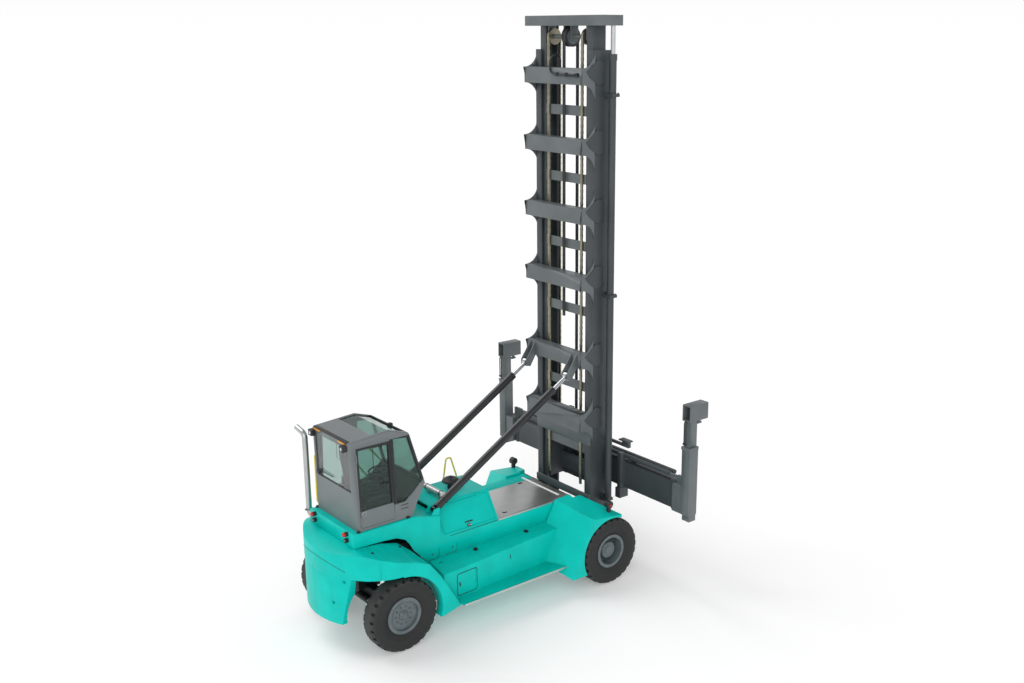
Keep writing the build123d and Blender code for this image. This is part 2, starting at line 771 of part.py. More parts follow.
def counterweight_lower():
    """The slab behind the steer axle, curved across the rear, with round lifting holes."""
    front = Line((SLAB_FRONT, -SLAB_HALF), (SLAB_FRONT, SLAB_HALF))
    left = Line((SLAB_FRONT, SLAB_HALF), (SLAB_CORNER, SLAB_HALF))
    rear = ThreePointArc((SLAB_CORNER, SLAB_HALF), (REAR_FACE, 0), (SLAB_CORNER, -SLAB_HALF))
    right = Line((SLAB_CORNER, -SLAB_HALF), (SLAB_FRONT, -SLAB_HALF))
    face = make_face(Curve() + [front, left, rear, right])
    slab = Pos(0, 0, SLAB_LOW) * extrude(face, amount=BAND_LOW - SLAB_LOW, dir=(0, 0, 1))
    sides = (
        (-SLAB_FOOT_HALF, SLAB_LOW),
        (SLAB_FOOT_HALF, SLAB_LOW),
        (SLAB_HALF, BAND_LOW),
        (-SLAB_HALF, BAND_LOW),
    )
    slab = slab & prism_x(sides, REAR_FACE, SLAB_FRONT)
    for y, z in SLAB_HOLES:
        slab = slab - both(rod((REAR_FACE, y, z), (SLAB_CORNER + SLAB_HOLE_DEPTH, y, z), SLAB_HOLE_R))
    turn_r = math.hypot(TYRE_R, STEER_FACE_Y - KINGPIN_Y)
    return slab - both(Pos(STEER_X, KINGPIN_Y, AXLE_Z) * Sphere(turn_r))


# Cab


def cab_solid(depth):
    """The cab's outer form, moved inward by a depth: side profile cut by the leaning side walls."""
    profile = inset(CAB_PROFILE, depth) if depth else CAB_PROFILE
    crest = CAB_CREST[1]
    crest_half = CAB_FLOOR_HALF - CAB_LEAN * (crest - CAB_FLOOR)
    walls = (
        (-CAB_FLOOR_HALF, CAB_FLOOR),
        (-crest_half, crest),
        (crest_half, crest),
        (CAB_FLOOR_HALF, CAB_FLOOR),
    )
    walls = inset(walls, depth) if depth else walls
    return prism_y(profile, -CAB_FLOOR_HALF, CAB_FLOOR_HALF) & prism_x(walls, REAR_FACE, 0)


def side_window():
    """The left quarter window's opening, with its lower edge swept up to the front."""
    sill = Line((-4300, 0, 2575), (-4140, 0, 2590))
    sweep = ThreePointArc((-4140, 0, 2590), (-3960, 0, 2690), (-3758, 0, 2890))
    rest = Polyline((-3758, 0, 2890), (-3995, 0, 3745), (-4300, 0, 3775), (-4300, 0, 2575))
    face = make_face(Curve() + [sill, sweep, rest])
    return extrude(face, amount=CAB_FLOOR_HALF + 100, dir=(0, 1, 0))


def cab_windows():
    """Prisms that cut the window openings."""
    rear = ((-610, 2960), (610, 2960), (575, 3790), (-575, 3790))
    front = ((-620, 2900), (620, 2900), (580, 3750), (-580, 3750))
    roof = ((-4700, -575), (-4030, -575), (-4030, 575), (-4700, 575))
    left = side_window()
    return {
        "left": left,
        "right": mirror(left, about=Plane.XZ),
        "rear": prism_x(rear, -5400, -5000),
        "front": prism_x(front, -4050, -3500) - block(-4200, -3900, -900, 900, 3760, 4000),
        "roof": prism_z(roof, 3700, 4000),
    }


def cab_parts():
    """Cab frame, fixed glass, and two doors with their glass."""
    outer = cab_solid(0)
    rear_edges = outer.faces().sort_by(Axis.X)[0].edges().sort_by(Axis.Z)[1:]
    roof_faces = [face for face in outer.faces() if face.normal_at().Z > 0.8]
    crest = CAB_CREST[1]
    roof_edges = [edge for face in roof_faces for edge in face.edges() if abs(edge.center().Z - crest) > 1]
    rounded = fillet(list(set(rear_edges) | set(roof_edges)), CAB_ROUND)
    shell = rounded - cab_solid(CAB_WALL)
    pane = cab_solid(CAB_WALL / 2 - GLASS_T / 2) - cab_solid(CAB_WALL / 2 + GLASS_T / 2)
    windows = cab_windows()
    frame = shell
    glass = []
    for cut in windows.values():
        frame = frame - cut
        glass.append(pane & cut)
    doors = {}
    door_glass = {}
    gap = PANEL_GAP
    outline = ((DOOR_REAR, DOOR_LOW), (DOOR_FRONT, DOOR_LOW), (DOOR_FRONT, DOOR_HIGH), (DOOR_REAR, DOOR_HIGH))
    light = inset(outline, DOOR_STILE)
    light = [(x, max(z, DOOR_SILL)) for x, z in light]
    for side in (1, -1):
        span = (300, 900) if side > 0 else (-900, -300)
        frame = frame - prism_y(outline, *span)
        panel = shell & prism_y(inset(outline, gap), *span)
        hole = prism_y(light, *span)
        panel = panel - hole
        door_glass[side] = pane & hole
        hinges = []
        for z in (DOOR_LOW + 130, DOOR_HIGH - 180):
            y = CAB_FLOOR_HALF - CAB_LEAN * (z - CAB_FLOOR)
            hinges.append(((DOOR_REAR, side * y, z), (0, -side * CAB_LEAN, 1)))
        frame, panel = hang(frame, panel, hinges)
        doors[side] = panel
    return frame, Compound(glass), doors, door_glass


def seat():
    """Operator's seat: pedestal, cushion and back."""
    low = CAB_FLOOR + 420
    middle = CAB_FLOOR + 540
    top = CAB_FLOOR + 1180
    base = block(-4760, -4460, -180, 180, CAB_FLOOR + CAB_WALL, low)
    cushion = block(-4830, -4330, -250, 250, low, middle)
    back = prism_y(
        ((-4830, middle), (-4720, middle), (-4830, top), (-4920, top)),
        -240,
        240,
    )
    return base + cushion + back


def console():
    """Steering column with its wheel, and the instrument pod."""
    foot = block(-4190, -4080, -70, 70, CAB_FLOOR + CAB_WALL, CAB_FLOOR + 200)
    column = rod((-4130, 0, CAB_FLOOR + 180), (-4233, 0, CAB_FLOOR + 716), 45)
    plane = Plane(origin=(-4236, 0, CAB_FLOOR + 730), z_dir=(-100, 0, 520))
    rim = Cylinder(204, 26) - Cylinder(176, 27)
    spokes = Box(370, 34, 14)
    hub = Cylinder(50, 60)
    return foot + column + plane * (rim + spokes + hub)


# Fittings on the body


# Exhaust pipe: place along and across, heights of its lower and upper elbows
EXHAUST = (-5180, 985, 2060, 3630)
EXHAUST_R = 55
EXHAUST_TIP = 300
CLEANER = (-2640, 30)
CLEANER_R = 165
CANISTER_X = -3090
CANISTER_Y = (-360, 220)
CANISTER_R = 58


def exhaust_stack():
    """Silver exhaust pipe: out of the platform's left side, up, and turned outward at the top."""
    x, y, low, high = EXHAUST
    points = ((x, BODY_HALF, low), (x, y, low), (x, y, high), (x, y + EXHAUST_TIP, high + 50))
    return bent_bar(points, EXHAUST_R, 2 * EXHAUST_R)


def intake_parts():
    """Domed air pre-cleaner on its neck, and a lying canister with a capped end."""
    x, y = CLEANER
    neck = rod((x, y, HOOD_TOP), (x, y, HOOD_TOP + 110), 70)
    outline = ((110, 0), (110, 120), (140, CLEANER_R), (165, CLEANER_R), (205, 120), (220, 0))
    dome = Pos(x, y, HOOD_TOP) * Rot(90, 0, 0) * turned(outline)
    y0, y1 = CANISTER_Y
    z = HOOD_TOP + 100
    canister = rod((CANISTER_X, y0, z), (CANISTER_X, y1, z), CANISTER_R)
    canister = canister + rod((CANISTER_X, y1, z), (CANISTER_X, y1 + 40, z), CANISTER_R - 18)
    feet = []
    for y in (y0 + 110, y1 - 140):
        feet.append(block(CANISTER_X - 45, CANISTER_X + 45, y, y + 40, HOOD_TOP, z - CANISTER_R / 2))
    return neck + dome, canister + feet


RAIL_R = 17
RAIL_BEND = 45
HOOP_Y = 1085
HOOP_REAR = -2125
HOOP_FRONT = -1755
HOOP_TOP = 2340
STAIR_Y = 1180
STAIR_FRONT = -3100
STAIR_REAR = -4150
GRAB_X = -5100


def handrails():
    """Yellow rails on the left: a hoop on the tank, the stair's rail and a grab bar on the cab's pillar."""
    y = HOOP_Y
    hoop = bent_bar(
        (
            (HOOP_REAR, y, TANK_LOW),
            (HOOP_REAR, y, HOOP_TOP - 500),
            (HOOP_REAR + 90, y, HOOP_TOP),
            (HOOP_FRONT - 170, y, HOOP_TOP),
            (HOOP_FRONT, y, HOOP_TOP - 540),
            (HOOP_FRONT, y, TANK_LOW),
        ),
        RAIL_R,
        RAIL_BEND,
    )
    y = STAIR_Y
    front, rear = STAIR_FRONT, STAIR_REAR
    stair = bent_bar(
        ((front, y, TANK_LOW), (front, y, 2150), (-3860, y, 3100), (rear, y, 3100), (rear, y, BAND_LOW)),
        RAIL_R,
        90,
    )
    stair = stair + rod((front, y, 1450), (rear, y, 2850), RAIL_R)
    y = CAB_FLOOR_HALF + 60
    x = GRAB_X
    grab = bent_bar(((x, y - 110, 2330), (x, y, 2330), (x, y, 3260), (x, y - 150, 3260)), RAIL_R, 50)
    return Compound([hoop - side_tank(), stair - side_tank() - rear_side(), grab - cab_solid(0)])


MARKER = (50, 1560, 1640)


def lamps():
    """Rear lamps on the platform, work lamps at the cab's rear corners, marker lamps on the fenders."""
    pieces = []
    for side in (1, -1):
        y = side * 580
        pieces.append(rod((PLATFORM_REAR, y, 2215), (PLATFORM_REAR - 70, y, 2215), 42))
        pieces.append(rod((PLATFORM_REAR, y, 2095), (PLATFORM_REAR - 60, y, 2095), 42))
        pieces.append(block(-5290, -5198.5, side * 560 - 60, side * 560 + 60, 3740, 3850))
        x, y, z = MARKER
        marker = rod((x, y - 55, z), (x, y + 55, z), 75)
        marker = marker + block(x - 35, x + 35, y - 30, y + 30, BAND_LOW - 100, z)
        pieces.append(on_side(marker - front_fender_facets(), side))
    return Compound(pieces)


# Mast


def outer_uprights():
    """Outer mast's channel uprights, with their feet round the drive axle."""
    inner_y = MAST_HALF - MAST_CHANNEL
    upright = block(MAST_REAR, MAST_FRONT, inner_y, MAST_HALF, MAST_FOOT_Z, OUTER_TOP)
    channel = block(
        MAST_REAR + MAST_FLANGE, MAST_FRONT - MAST_FLANGE, inner_y - 1, MAST_HALF - MAST_WEB, 0, OUTER_TOP + 1
    )
    side = upright - channel
    foot = block(-DRIVE_TUBE_R - 45, MAST_REAR + MAST_FLANGE, inner_y, MAST_HALF, AXLE_Z - 215, AXLE_Z + 260)
    side = side + (foot - rod((0, 0, AXLE_Z), (0, 2000, AXLE_Z), DRIVE_TUBE_R + SLIDE))
    return pair(side)


def bow_beam(low, high):
    """One bow beam: a channel across the mast's rear, between two cheeks with scalloped edges."""
    cheek = block(BOW_REAR, MAST_REAR + MAST_FLANGE, MAST_HALF, CHEEK_OUT, low - BOW_R, high + BOW_R)
    for z in (low - BOW_R, high + BOW_R):
        cheek = cheek - rod((BOW_REAR, 0, z), (BOW_REAR, 2000, z), BOW_R)
    if (low, high) == BOWS[0]:
        x, z = LIFT_EYE
        cheek = cheek - rod((x, 0, z), (x, 2000, z), LIFT_EYE_R)
    beam = block(BOW_REAR, BOW_REAR + BOW_PLATE, -MAST_HALF, MAST_HALF, low, high)
    for z0, z1 in ((low, low + BOW_FLANGE), (high - BOW_FLANGE, high)):
        beam = beam + block(BOW_REAR, BOW_FRONT, -MAST_HALF, MAST_HALF, z0, z1)
    return beam, cheek


def tilt_lugs():
    """Lug plates and pin for the left tilt rod, on the rear of its bow beam."""
    low, high = TILT_BOW
    ex, ez = TILT_EYE
    outline = ((BOW_REAR, high), (BOW_REAR, low), (ex + 40, ez - 85), (ex - 70, ez - 50), (ex - 70, ez + 60))
    side = rod((ex, TILT_Y - 87, ez), (ex, TILT_Y + 87, ez), TILT_PIN_R)
    for y in (TILT_Y - 75, TILT_Y + 75):
        side = side + prism_y(outline, y - 12, y + 12)
    return side


def mast_bows():
    """All bow beams, the lug plates on the tilt beam, the lower plate and the foot tie."""
    pieces = []
    for low, high in BOWS:
        beam, cheek = bow_beam(low, high)
        pieces.extend([beam, cheek, mirror(cheek, about=Plane.XZ)])
    lugs = tilt_lugs()
    pieces.extend([lugs, mirror(lugs, about=Plane.XZ)])
    pieces.append(block(MAST_REAR - 40, MAST_REAR, -MAST_HALF, MAST_HALF, 1420, 1570))
    pieces.append(block(MAST_REAR - 20, MAST_REAR, -MAST_HALF, MAST_HALF, 2640, BOWS[5][0]))
    return Compound(pieces)


def lift_barrels():
    """Lift cylinders' barrels, with the seats and clamps that hold them to the outer uprights."""
    side = rod((LIFT_X, LIFT_Y, LIFT_FOOT_Z), (LIFT_X, LIFT_Y, LIFT_GLAND_Z), LIFT_BARREL_R)
    out = LIFT_Y + LIFT_BARREL_R
    seat_low = LIFT_FOOT_Z - LIFT_SEAT_T
    seat_outline = ((MAST_HALF, seat_low - 30), (out, seat_low), (out, LIFT_FOOT_Z), (MAST_HALF, LIFT_FOOT_Z))
    side = side + prism_x(seat_outline, LIFT_X - LIFT_SEAT_HALF, LIFT_X + LIFT_SEAT_HALF)
    for z in CLAMP_LEVELS:
        clamp = block(LIFT_X - CLAMP_HALF, LIFT_X + CLAMP_HALF, MAST_HALF, out + CLAMP_OVER, z, z + CLAMP_H)
        side = side + clamp
    gland_foot = (LIFT_X, LIFT_Y, LIFT_GLAND_Z - GLAND_H)
    gland = rod(gland_foot, (LIFT_X, LIFT_Y, LIFT_GLAND_Z), LIFT_BARREL_R + GLAND_OVER)
    bore = rod((LIFT_X, LIFT_Y, LIFT_FOOT_Z + 60), (LIFT_X, LIFT_Y, LIFT_GLAND_Z + 1), LIFT_ROD_R + SLIDE)
    return pair(side + gland - bore)


def lift_rods():
    side = rod((LIFT_X, LIFT_Y, 2100), (LIFT_X, LIFT_Y, TOP_BEAM_Z), LIFT_ROD_R)
    return pair(side)


BAR_T = 22
CHAIN_Y = 500
CHAIN_WHEEL_R = 130
CHAIN_WHEEL_DROP = 198
CHAIN_WHEEL_Z = TOP_BEAM_Z - CHAIN_WHEEL_DROP
CHAIN_WHEEL_X = 360
CHAIN_T = 24
CHAIN_W = 60
CHAIN_FOOT = 1700
SHEAVE_R = 190
HOSE_R = 19
HOSE_REAR_LOW = 5200
HOSE_FRONT_LOW = 2950


def inner_uprights():
    """Inner mast's channel uprights, with the rollers at their feet."""
    inner_y = INNER_HALF - INNER_CHANNEL
    upright = block(INNER_REAR, INNER_FRONT, inner_y, INNER_HALF, INNER_FOOT_Z, TOP_BEAM_Z)
    x0, x1 = INNER_REAR + INNER_WALL, INNER_FRONT - INNER_WALL
    channel = block(x0, x1, inner_y - 1, INNER_HALF - INNER_WALL, 0, TOP_BEAM_Z + 1)
    side = upright - channel
    roller_r = (MAST_FRONT - MAST_REAR) / 2 - MAST_FLANGE - SLIDE
    roller_x = (MAST_FRONT + MAST_REAR) / 2
    roller_out = MAST_HALF - MAST_WEB - SLIDE
    for z in (INNER_FOOT_Z + 200, INNER_FOOT_Z + 900):
        side = side + rod((roller_x, INNER_HALF - 5, z), (roller_x, roller_out, z), roller_r)
    return pair(side)


def inner_bars():
    """Flat cross bars between the inner uprights."""
    half = INNER_HALF - INNER_CHANNEL
    bars = []
    for z, height in CROSS_BARS:
        bars.append(block(INNER_REAR, INNER_REAR + BAR_T, -half, half, z - height / 2, z + height / 2))
    return Compound(bars)


def mast_head():
    """Top beam of the inner mast, with the hangers and shaft of the chain wheels."""
    top = block(
        MAST_REAR - TOP_BEAM_OVER / 2, MAST_FRONT + TOP_BEAM_OVER / 2, -TOP_BEAM_HALF, TOP_BEAM_HALF,
        TOP_BEAM_Z, TOP_BEAM_Z + TOP_BEAM_H,
    )
    pocket = block(
        MAST_REAR, MAST_FRONT, -INNER_HALF + 40, INNER_HALF - 40, TOP_BEAM_Z - 1, TOP_BEAM_Z + TOP_BEAM_H - 30
    )
    head = top - pocket
    shaft_half = CHAIN_Y + 95
    shaft = ((CHAIN_WHEEL_X, -shaft_half, CHAIN_WHEEL_Z), (CHAIN_WHEEL_X, shaft_half, CHAIN_WHEEL_Z))
    head = head + rod(*shaft, 40)
    for y in (CHAIN_Y + 60, 100, -100, -CHAIN_Y - 60):
        x0, x1 = CHAIN_WHEEL_X - 90, CHAIN_WHEEL_X + 90
        hanger = block(x0, x1, y - 15, y + 15, CHAIN_WHEEL_Z - 70, TOP_BEAM_Z + 160)
        head = head + hanger
    return head


def lift_chains():
    """Leaf chains over their wheels at the mast's top: fixed run at the rear, carriage run in front."""
    wheel_low = CHAIN_WHEEL_Z
    reach = CHAIN_WHEEL_R + CHAIN_T
    y0, y1 = CHAIN_Y - CHAIN_W / 2, CHAIN_Y + CHAIN_W / 2
    ring = rod((CHAIN_WHEEL_X, y0, CHAIN_WHEEL_Z), (CHAIN_WHEEL_X, y1, CHAIN_WHEEL_Z), reach)
    ring = ring - rod((CHAIN_WHEEL_X, 0, CHAIN_WHEEL_Z), (CHAIN_WHEEL_X, 2000, CHAIN_WHEEL_Z), 40)
    rear = block(CHAIN_WHEEL_X - reach, CHAIN_WHEEL_X - CHAIN_WHEEL_R, y0, y1, CHAIN_FOOT, wheel_low)
    front_low = CARRIAGE_HIGH - 200
    front = block(CHAIN_WHEEL_X + CHAIN_WHEEL_R, CHAIN_WHEEL_X + reach, y0, y1, front_low, wheel_low)
    side = ring + rear + front
    return pair(side)


def hose_sheave():
    """Big hose wheel under the middle of the top beam, with its hoses down to the carriage."""
    wheel = rod((CHAIN_WHEEL_X, -60, CHAIN_WHEEL_Z), (CHAIN_WHEEL_X, 60, CHAIN_WHEEL_Z), SHEAVE_R)
    groove = rod((CHAIN_WHEEL_X, -40, CHAIN_WHEEL_Z), (CHAIN_WHEEL_X, 40, CHAIN_WHEEL_Z), SHEAVE_R + 1)
    core = rod((CHAIN_WHEEL_X, -41, CHAIN_WHEEL_Z), (CHAIN_WHEEL_X, 41, CHAIN_WHEEL_Z), SHEAVE_R - 40)
    wheel = (wheel - groove) + core
    wheel = wheel - rod((CHAIN_WHEEL_X, -100, CHAIN_WHEEL_Z), (CHAIN_WHEEL_X, 100, CHAIN_WHEEL_Z), 40)
    run = SHEAVE_R - 40 + HOSE_R
    for y in (-HOSE_R, HOSE_R):
        over = Pos(CHAIN_WHEEL_X, y, CHAIN_WHEEL_Z) * Rot(90, 0, 0) * Torus(run, HOSE_R)
        over = over & block(0, 1000, y - 100, y + 100, CHAIN_WHEEL_Z, CHAIN_WHEEL_Z + 1000)
        rear = rod((CHAIN_WHEEL_X - run, y, HOSE_REAR_LOW), (CHAIN_WHEEL_X - run, y, CHAIN_WHEEL_Z), HOSE_R)
        front = rod((CHAIN_WHEEL_X + run, y, HOSE_FRONT_LOW), (CHAIN_WHEEL_X + run, y, CHAIN_WHEEL_Z), HOSE_R)
        wheel = wheel + over + rear + front
    return wheel


def carriage():
    """Carriage: roller rails inside the inner mast, cross plates and two slide rails across the front."""
    inner_y = INNER_HALF - INNER_CHANNEL
    rail_x0 = INNER_REAR + INNER_WALL + 20
    rail_x1 = INNER_FRONT - INNER_WALL - 20
    rail = block(rail_x0, rail_x1, inner_y - 45, inner_y - 5, CARRIAGE_LOW, CARRIAGE_HIGH)
    roller_r = (INNER_FRONT - INNER_REAR) / 2 - INNER_WALL - SLIDE
    roller_x = (INNER_FRONT + INNER_REAR) / 2
    roller_out = INNER_HALF - INNER_WALL - SLIDE
    for z in (CARRIAGE_LOW + 180, CARRIAGE_HIGH - 180):
        rail = rail + rod((roller_x, inner_y - 20, z), (roller_x, roller_out, z), roller_r)
    arm = block(rail_x1 - 60, CARRIAGE_FACE, inner_y - 45, inner_y - 15, CARRIAGE_LOW, CARRIAGE_HIGH)
    frame = both(rail + arm)
    for z in (CARRIAGE_LOW, CARRIAGE_HIGH - RAIL_H):
        frame = frame + block(CARRIAGE_FACE - 90, CARRIAGE_FACE, -820, 820, z, z + RAIL_H)
    plate_low, plate_high = CARRIAGE_PLATE
    plate_half = inner_y - 20
    frame = frame + block(
        CARRIAGE_FACE - 165, CARRIAGE_FACE - 100, -plate_half, plate_half, plate_low, plate_high
    )
    return frame


def spreader_beam():
    """Spreader's main beam: two long cells for the telescopic arms, and hooks on the carriage's rails."""
    beam = block(BEAM_REAR, BEAM_FRONT, -BEAM_HALF, BEAM_HALF, BEAM_LOW, BEAM_HIGH)
    z0, z1 = BEAM_LOW + BEAM_WALL, BEAM_HIGH - BEAM_WALL
    for x0, x1 in arm_cells():
        beam = beam - block(x0, x1, -BEAM_HALF - 1, BEAM_HALF + 1, z0, z1)
    for side in (1, -1):
        collar = on_side(
            block(
                BEAM_REAR - COLLAR_T,
                BEAM_FRONT + COLLAR_T,
                BEAM_HALF - 90,
                BEAM_HALF,
                BEAM_LOW - COLLAR_T,
                BEAM_HIGH + COLLAR_T,
            ),
            side,
        )
        beam = beam + (collar - block(BEAM_REAR, BEAM_FRONT, -3000, 3000, BEAM_LOW, BEAM_HIGH))
        x = EXTEND_X[side]
        barrel = on_side(rod((x, EXTEND_START, EXTEND_Z), (x, EXTEND_GLAND, EXTEND_Z), EXTEND_R), side)
        bore = rod((x, EXTEND_START + 60, EXTEND_Z), (x, EXTEND_GLAND + 1, EXTEND_Z), EXTEND_ROD_R + SLIDE)
        bore = on_side(bore, side)
        saddles = [block(x - 40, x + 40, y - 30, y + 30, BEAM_HIGH - 1, EXTEND_Z) for y in (-1200, 0, 1200)]
        beam = beam + (barrel + saddles - bore)
    top_rail = CARRIAGE_HIGH
    low_rail = CARRIAGE_LOW
    for y in (-560, 560):
        riser = block(CARRIAGE_FACE + SLIDE, BEAM_REAR, y - 60, y + 60, low_rail - 30, top_rail + 40)
        upper = block(CARRIAGE_FACE - 110, CARRIAGE_FACE + 1, y - 60, y + 60, top_rail + SLIDE, top_rail + 40)
        lower = block(CARRIAGE_FACE - 60, CARRIAGE_FACE + 1, y - 60, y + 60, low_rail - 30, low_rail - SLIDE)
        beam = beam + riser + upper + lower
    for y in (-SKID_Y, SKID_Y):
        skid = block(BEAM_REAR - 110, BEAM_REAR + 1, y - 50, y + 50, SKID_LOW, SKID_HIGH)
        foot = block(BEAM_REAR - 140, BEAM_REAR + 90, y - 70, y + 70, SKID_LOW, BEAM_LOW + 1)
        beam = beam + skid + foot
    return beam + hose_arm()


def hose_arm():
    """Arm from the right riser, with the small plate that guides the spreader's hoses."""
    x, y, z = BEAM_REAR, HOSE_ARM_OUT, HOSE_ARM_Z
    bar = block(x - 95, x - 35, y, HOSE_ARM_IN, z, z + 50)
    end = block(x - 100, x - 30, y, y + 190, z, z + 120)
    plate = block(x - 130, x + 10, y - 20, y + 260, z + 119, z + 145)
    return bar + end + plate


def arm_cells():
    """X limits of the rear cell and the front cell of the main beam."""
    middle = (BEAM_REAR + BEAM_FRONT) / 2
    return ((BEAM_REAR + BEAM_WALL, middle - BEAM_WALL / 2), (middle + BEAM_WALL / 2, BEAM_FRONT - BEAM_WALL))


def spreader_arm(cell, side):
    """Telescopic arm on the left, with the post sleeve at its outer end."""
    x0, x1 = cell
    post_in = HEAD_OUT - HEAD_WIDE
    low = BEAM_LOW + BEAM_WALL + SLIDE
    high = BEAM_HIGH - BEAM_WALL - SLIDE
    box = block(x0 + SLIDE, x1 - SLIDE, post_in - ARM_LENGTH, post_in, low, high)
    wall = 12
    box = box - block(x0 + wall, x1 - wall, post_in - ARM_LENGTH - 1, post_in - 60, low + wall, high - wall)
    flange = block(POST_REAR + 20, BEAM_FRONT, BEAM_HALF + PANEL_GAP, post_in + 5, BEAM_LOW, BEAM_HIGH)
    sleeve = block(POST_REAR, POST_FRONT, post_in, HEAD_OUT, SLEEVE_LOW + 130, SLEEVE_HIGH)
    bore = block(
        POST_REAR + POST_WALL, POST_FRONT - POST_WALL, post_in + POST_WALL, HEAD_OUT - POST_WALL,
        POST_LOW - 340, SLEEVE_HIGH + 1,
    )
    foot = block(POST_REAR + 40, POST_FRONT - 10, post_in + 10, HEAD_OUT - 10, SLEEVE_LOW, SLEEVE_LOW + 140)
    collar = block(POST_REAR - 12, POST_FRONT + 12, post_in - 12, HEAD_OUT, SLEEVE_HIGH - 60, SLEEVE_HIGH)
    x = EXTEND_X[side]
    lug = block(x - 30, x + 30, BEAM_HALF + 20, post_in, BEAM_HIGH - 30, EXTEND_Z + 40)
    extend_rod = rod((x, EXTEND_START + 150, EXTEND_Z), (x, post_in, EXTEND_Z), EXTEND_ROD_R)
    return box + flange + lug + extend_rod + ((sleeve + collar) - bore) + foot


def spreader_head():
    """Upper post on the left, with its head box and the lock under the front."""
    post_in = HEAD_OUT - HEAD_WIDE
    fit = POST_WALL + SLIDE
    post = block(
        POST_REAR + fit, POST_FRONT - fit, post_in + fit, HEAD_OUT - fit, POST_LOW, HEAD_LOW + HEAD_WALL
    )
    box = block(HEAD_REAR, HEAD_FRONT, post_in, HEAD_OUT, HEAD_LOW, HEAD_HIGH)
    space = block(
        HEAD_REAR - 1, HEAD_FRONT - HEAD_WALL, post_in + HEAD_WALL, HEAD_OUT - HEAD_WALL,
        HEAD_LOW + HEAD_WALL, HEAD_HIGH - HEAD_WALL,
    )
    lock_y = HEAD_OUT - HEAD_WIDE / 2
    lock = rod((1120, lock_y, HEAD_LOW + 10), (1120, lock_y, HEAD_LOW - 60), 32)
    nose = Pos(1120, HEAD_OUT - HEAD_WIDE / 2, HEAD_LOW - 80) * Box(104, 56, 40)
    return (box - space) + post + lock + nose


def tilt_frame():
    """Direction and length of a tilt cylinder in the XZ plane."""
    dx = TILT_EYE[0] - TILT_BASE[0]
    dz = TILT_EYE[1] - TILT_BASE[1]
    length = math.hypot(dx, dz)
    return dx / length, dz / length, length


def along_tilt(distance):
    ux, uz, length = tilt_frame()
    return (TILT_BASE[0] + ux * distance, TILT_Y, TILT_BASE[1] + uz * distance)


TILT_GLAND = 3330


def tilt_barrel():
    """Tilt cylinder's barrel on the left, with its eye on the base pin."""
    bx, bz = TILT_BASE
    barrel = rod(along_tilt(60), along_tilt(TILT_GLAND), TILT_BARREL_R)
    eye = rod((bx, TILT_Y - 45, bz), (bx, TILT_Y + 45, bz), 62)
    pin_hole = rod((bx, TILT_Y - 200, bz), (bx, TILT_Y + 200, bz), TILT_PIN_R + RUN)
    bore = rod(along_tilt(200), along_tilt(TILT_GLAND + 1), TILT_ROD_R + SLIDE)
    return barrel + eye - pin_hole - bore


def tilt_rod():
    """Tilt cylinder's rod on the left; its eye is open by the drift of the opened linkage."""
    ux, uz, length = tilt_frame()
    ex, ez = TILT_EYE
    bar = rod(along_tilt(700), along_tilt(length - 60), TILT_ROD_R)
    eye = rod((ex, TILT_Y - 45, ez), (ex, TILT_Y + 45, ez), 82)
    hole = rod((ex, TILT_Y - 46, ez), (ex, TILT_Y + 46, ez), TILT_PIN_R + TILT_DRIFT)
    return bar + eye - hole


def shoulder_z(x):
    """Height of the body's sloping shoulder between the platform and the hood."""
    share = (x - PLATFORM_FRONT) / (HOOD_REAR - PLATFORM_FRONT)
    return PLATFORM_TOP + share * (SHOULDER_Z - PLATFORM_TOP)


def tilt_mounts():
    """Base clevises of the tilt cylinders, on the shoulders behind the hood."""
    bx, bz = TILT_BASE
    rear, front = bx - 140, HOOD_REAR - 5
    outline = ((rear, shoulder_z(rear)), (front, shoulder_z(front)), (bx + 50, bz + 55), (bx - 60, bz + 55))
    pieces = []
    for side in (1, -1):
        clevis = rod((bx, TILT_Y - 112, bz), (bx, TILT_Y + 112, bz), TILT_PIN_R)
        for y in (TILT_Y - 100, TILT_Y + 100):
            clevis = clevis + prism_y(outline, y - 12, y + 12)
        pieces.append(on_side(clevis, side))
    return pieces


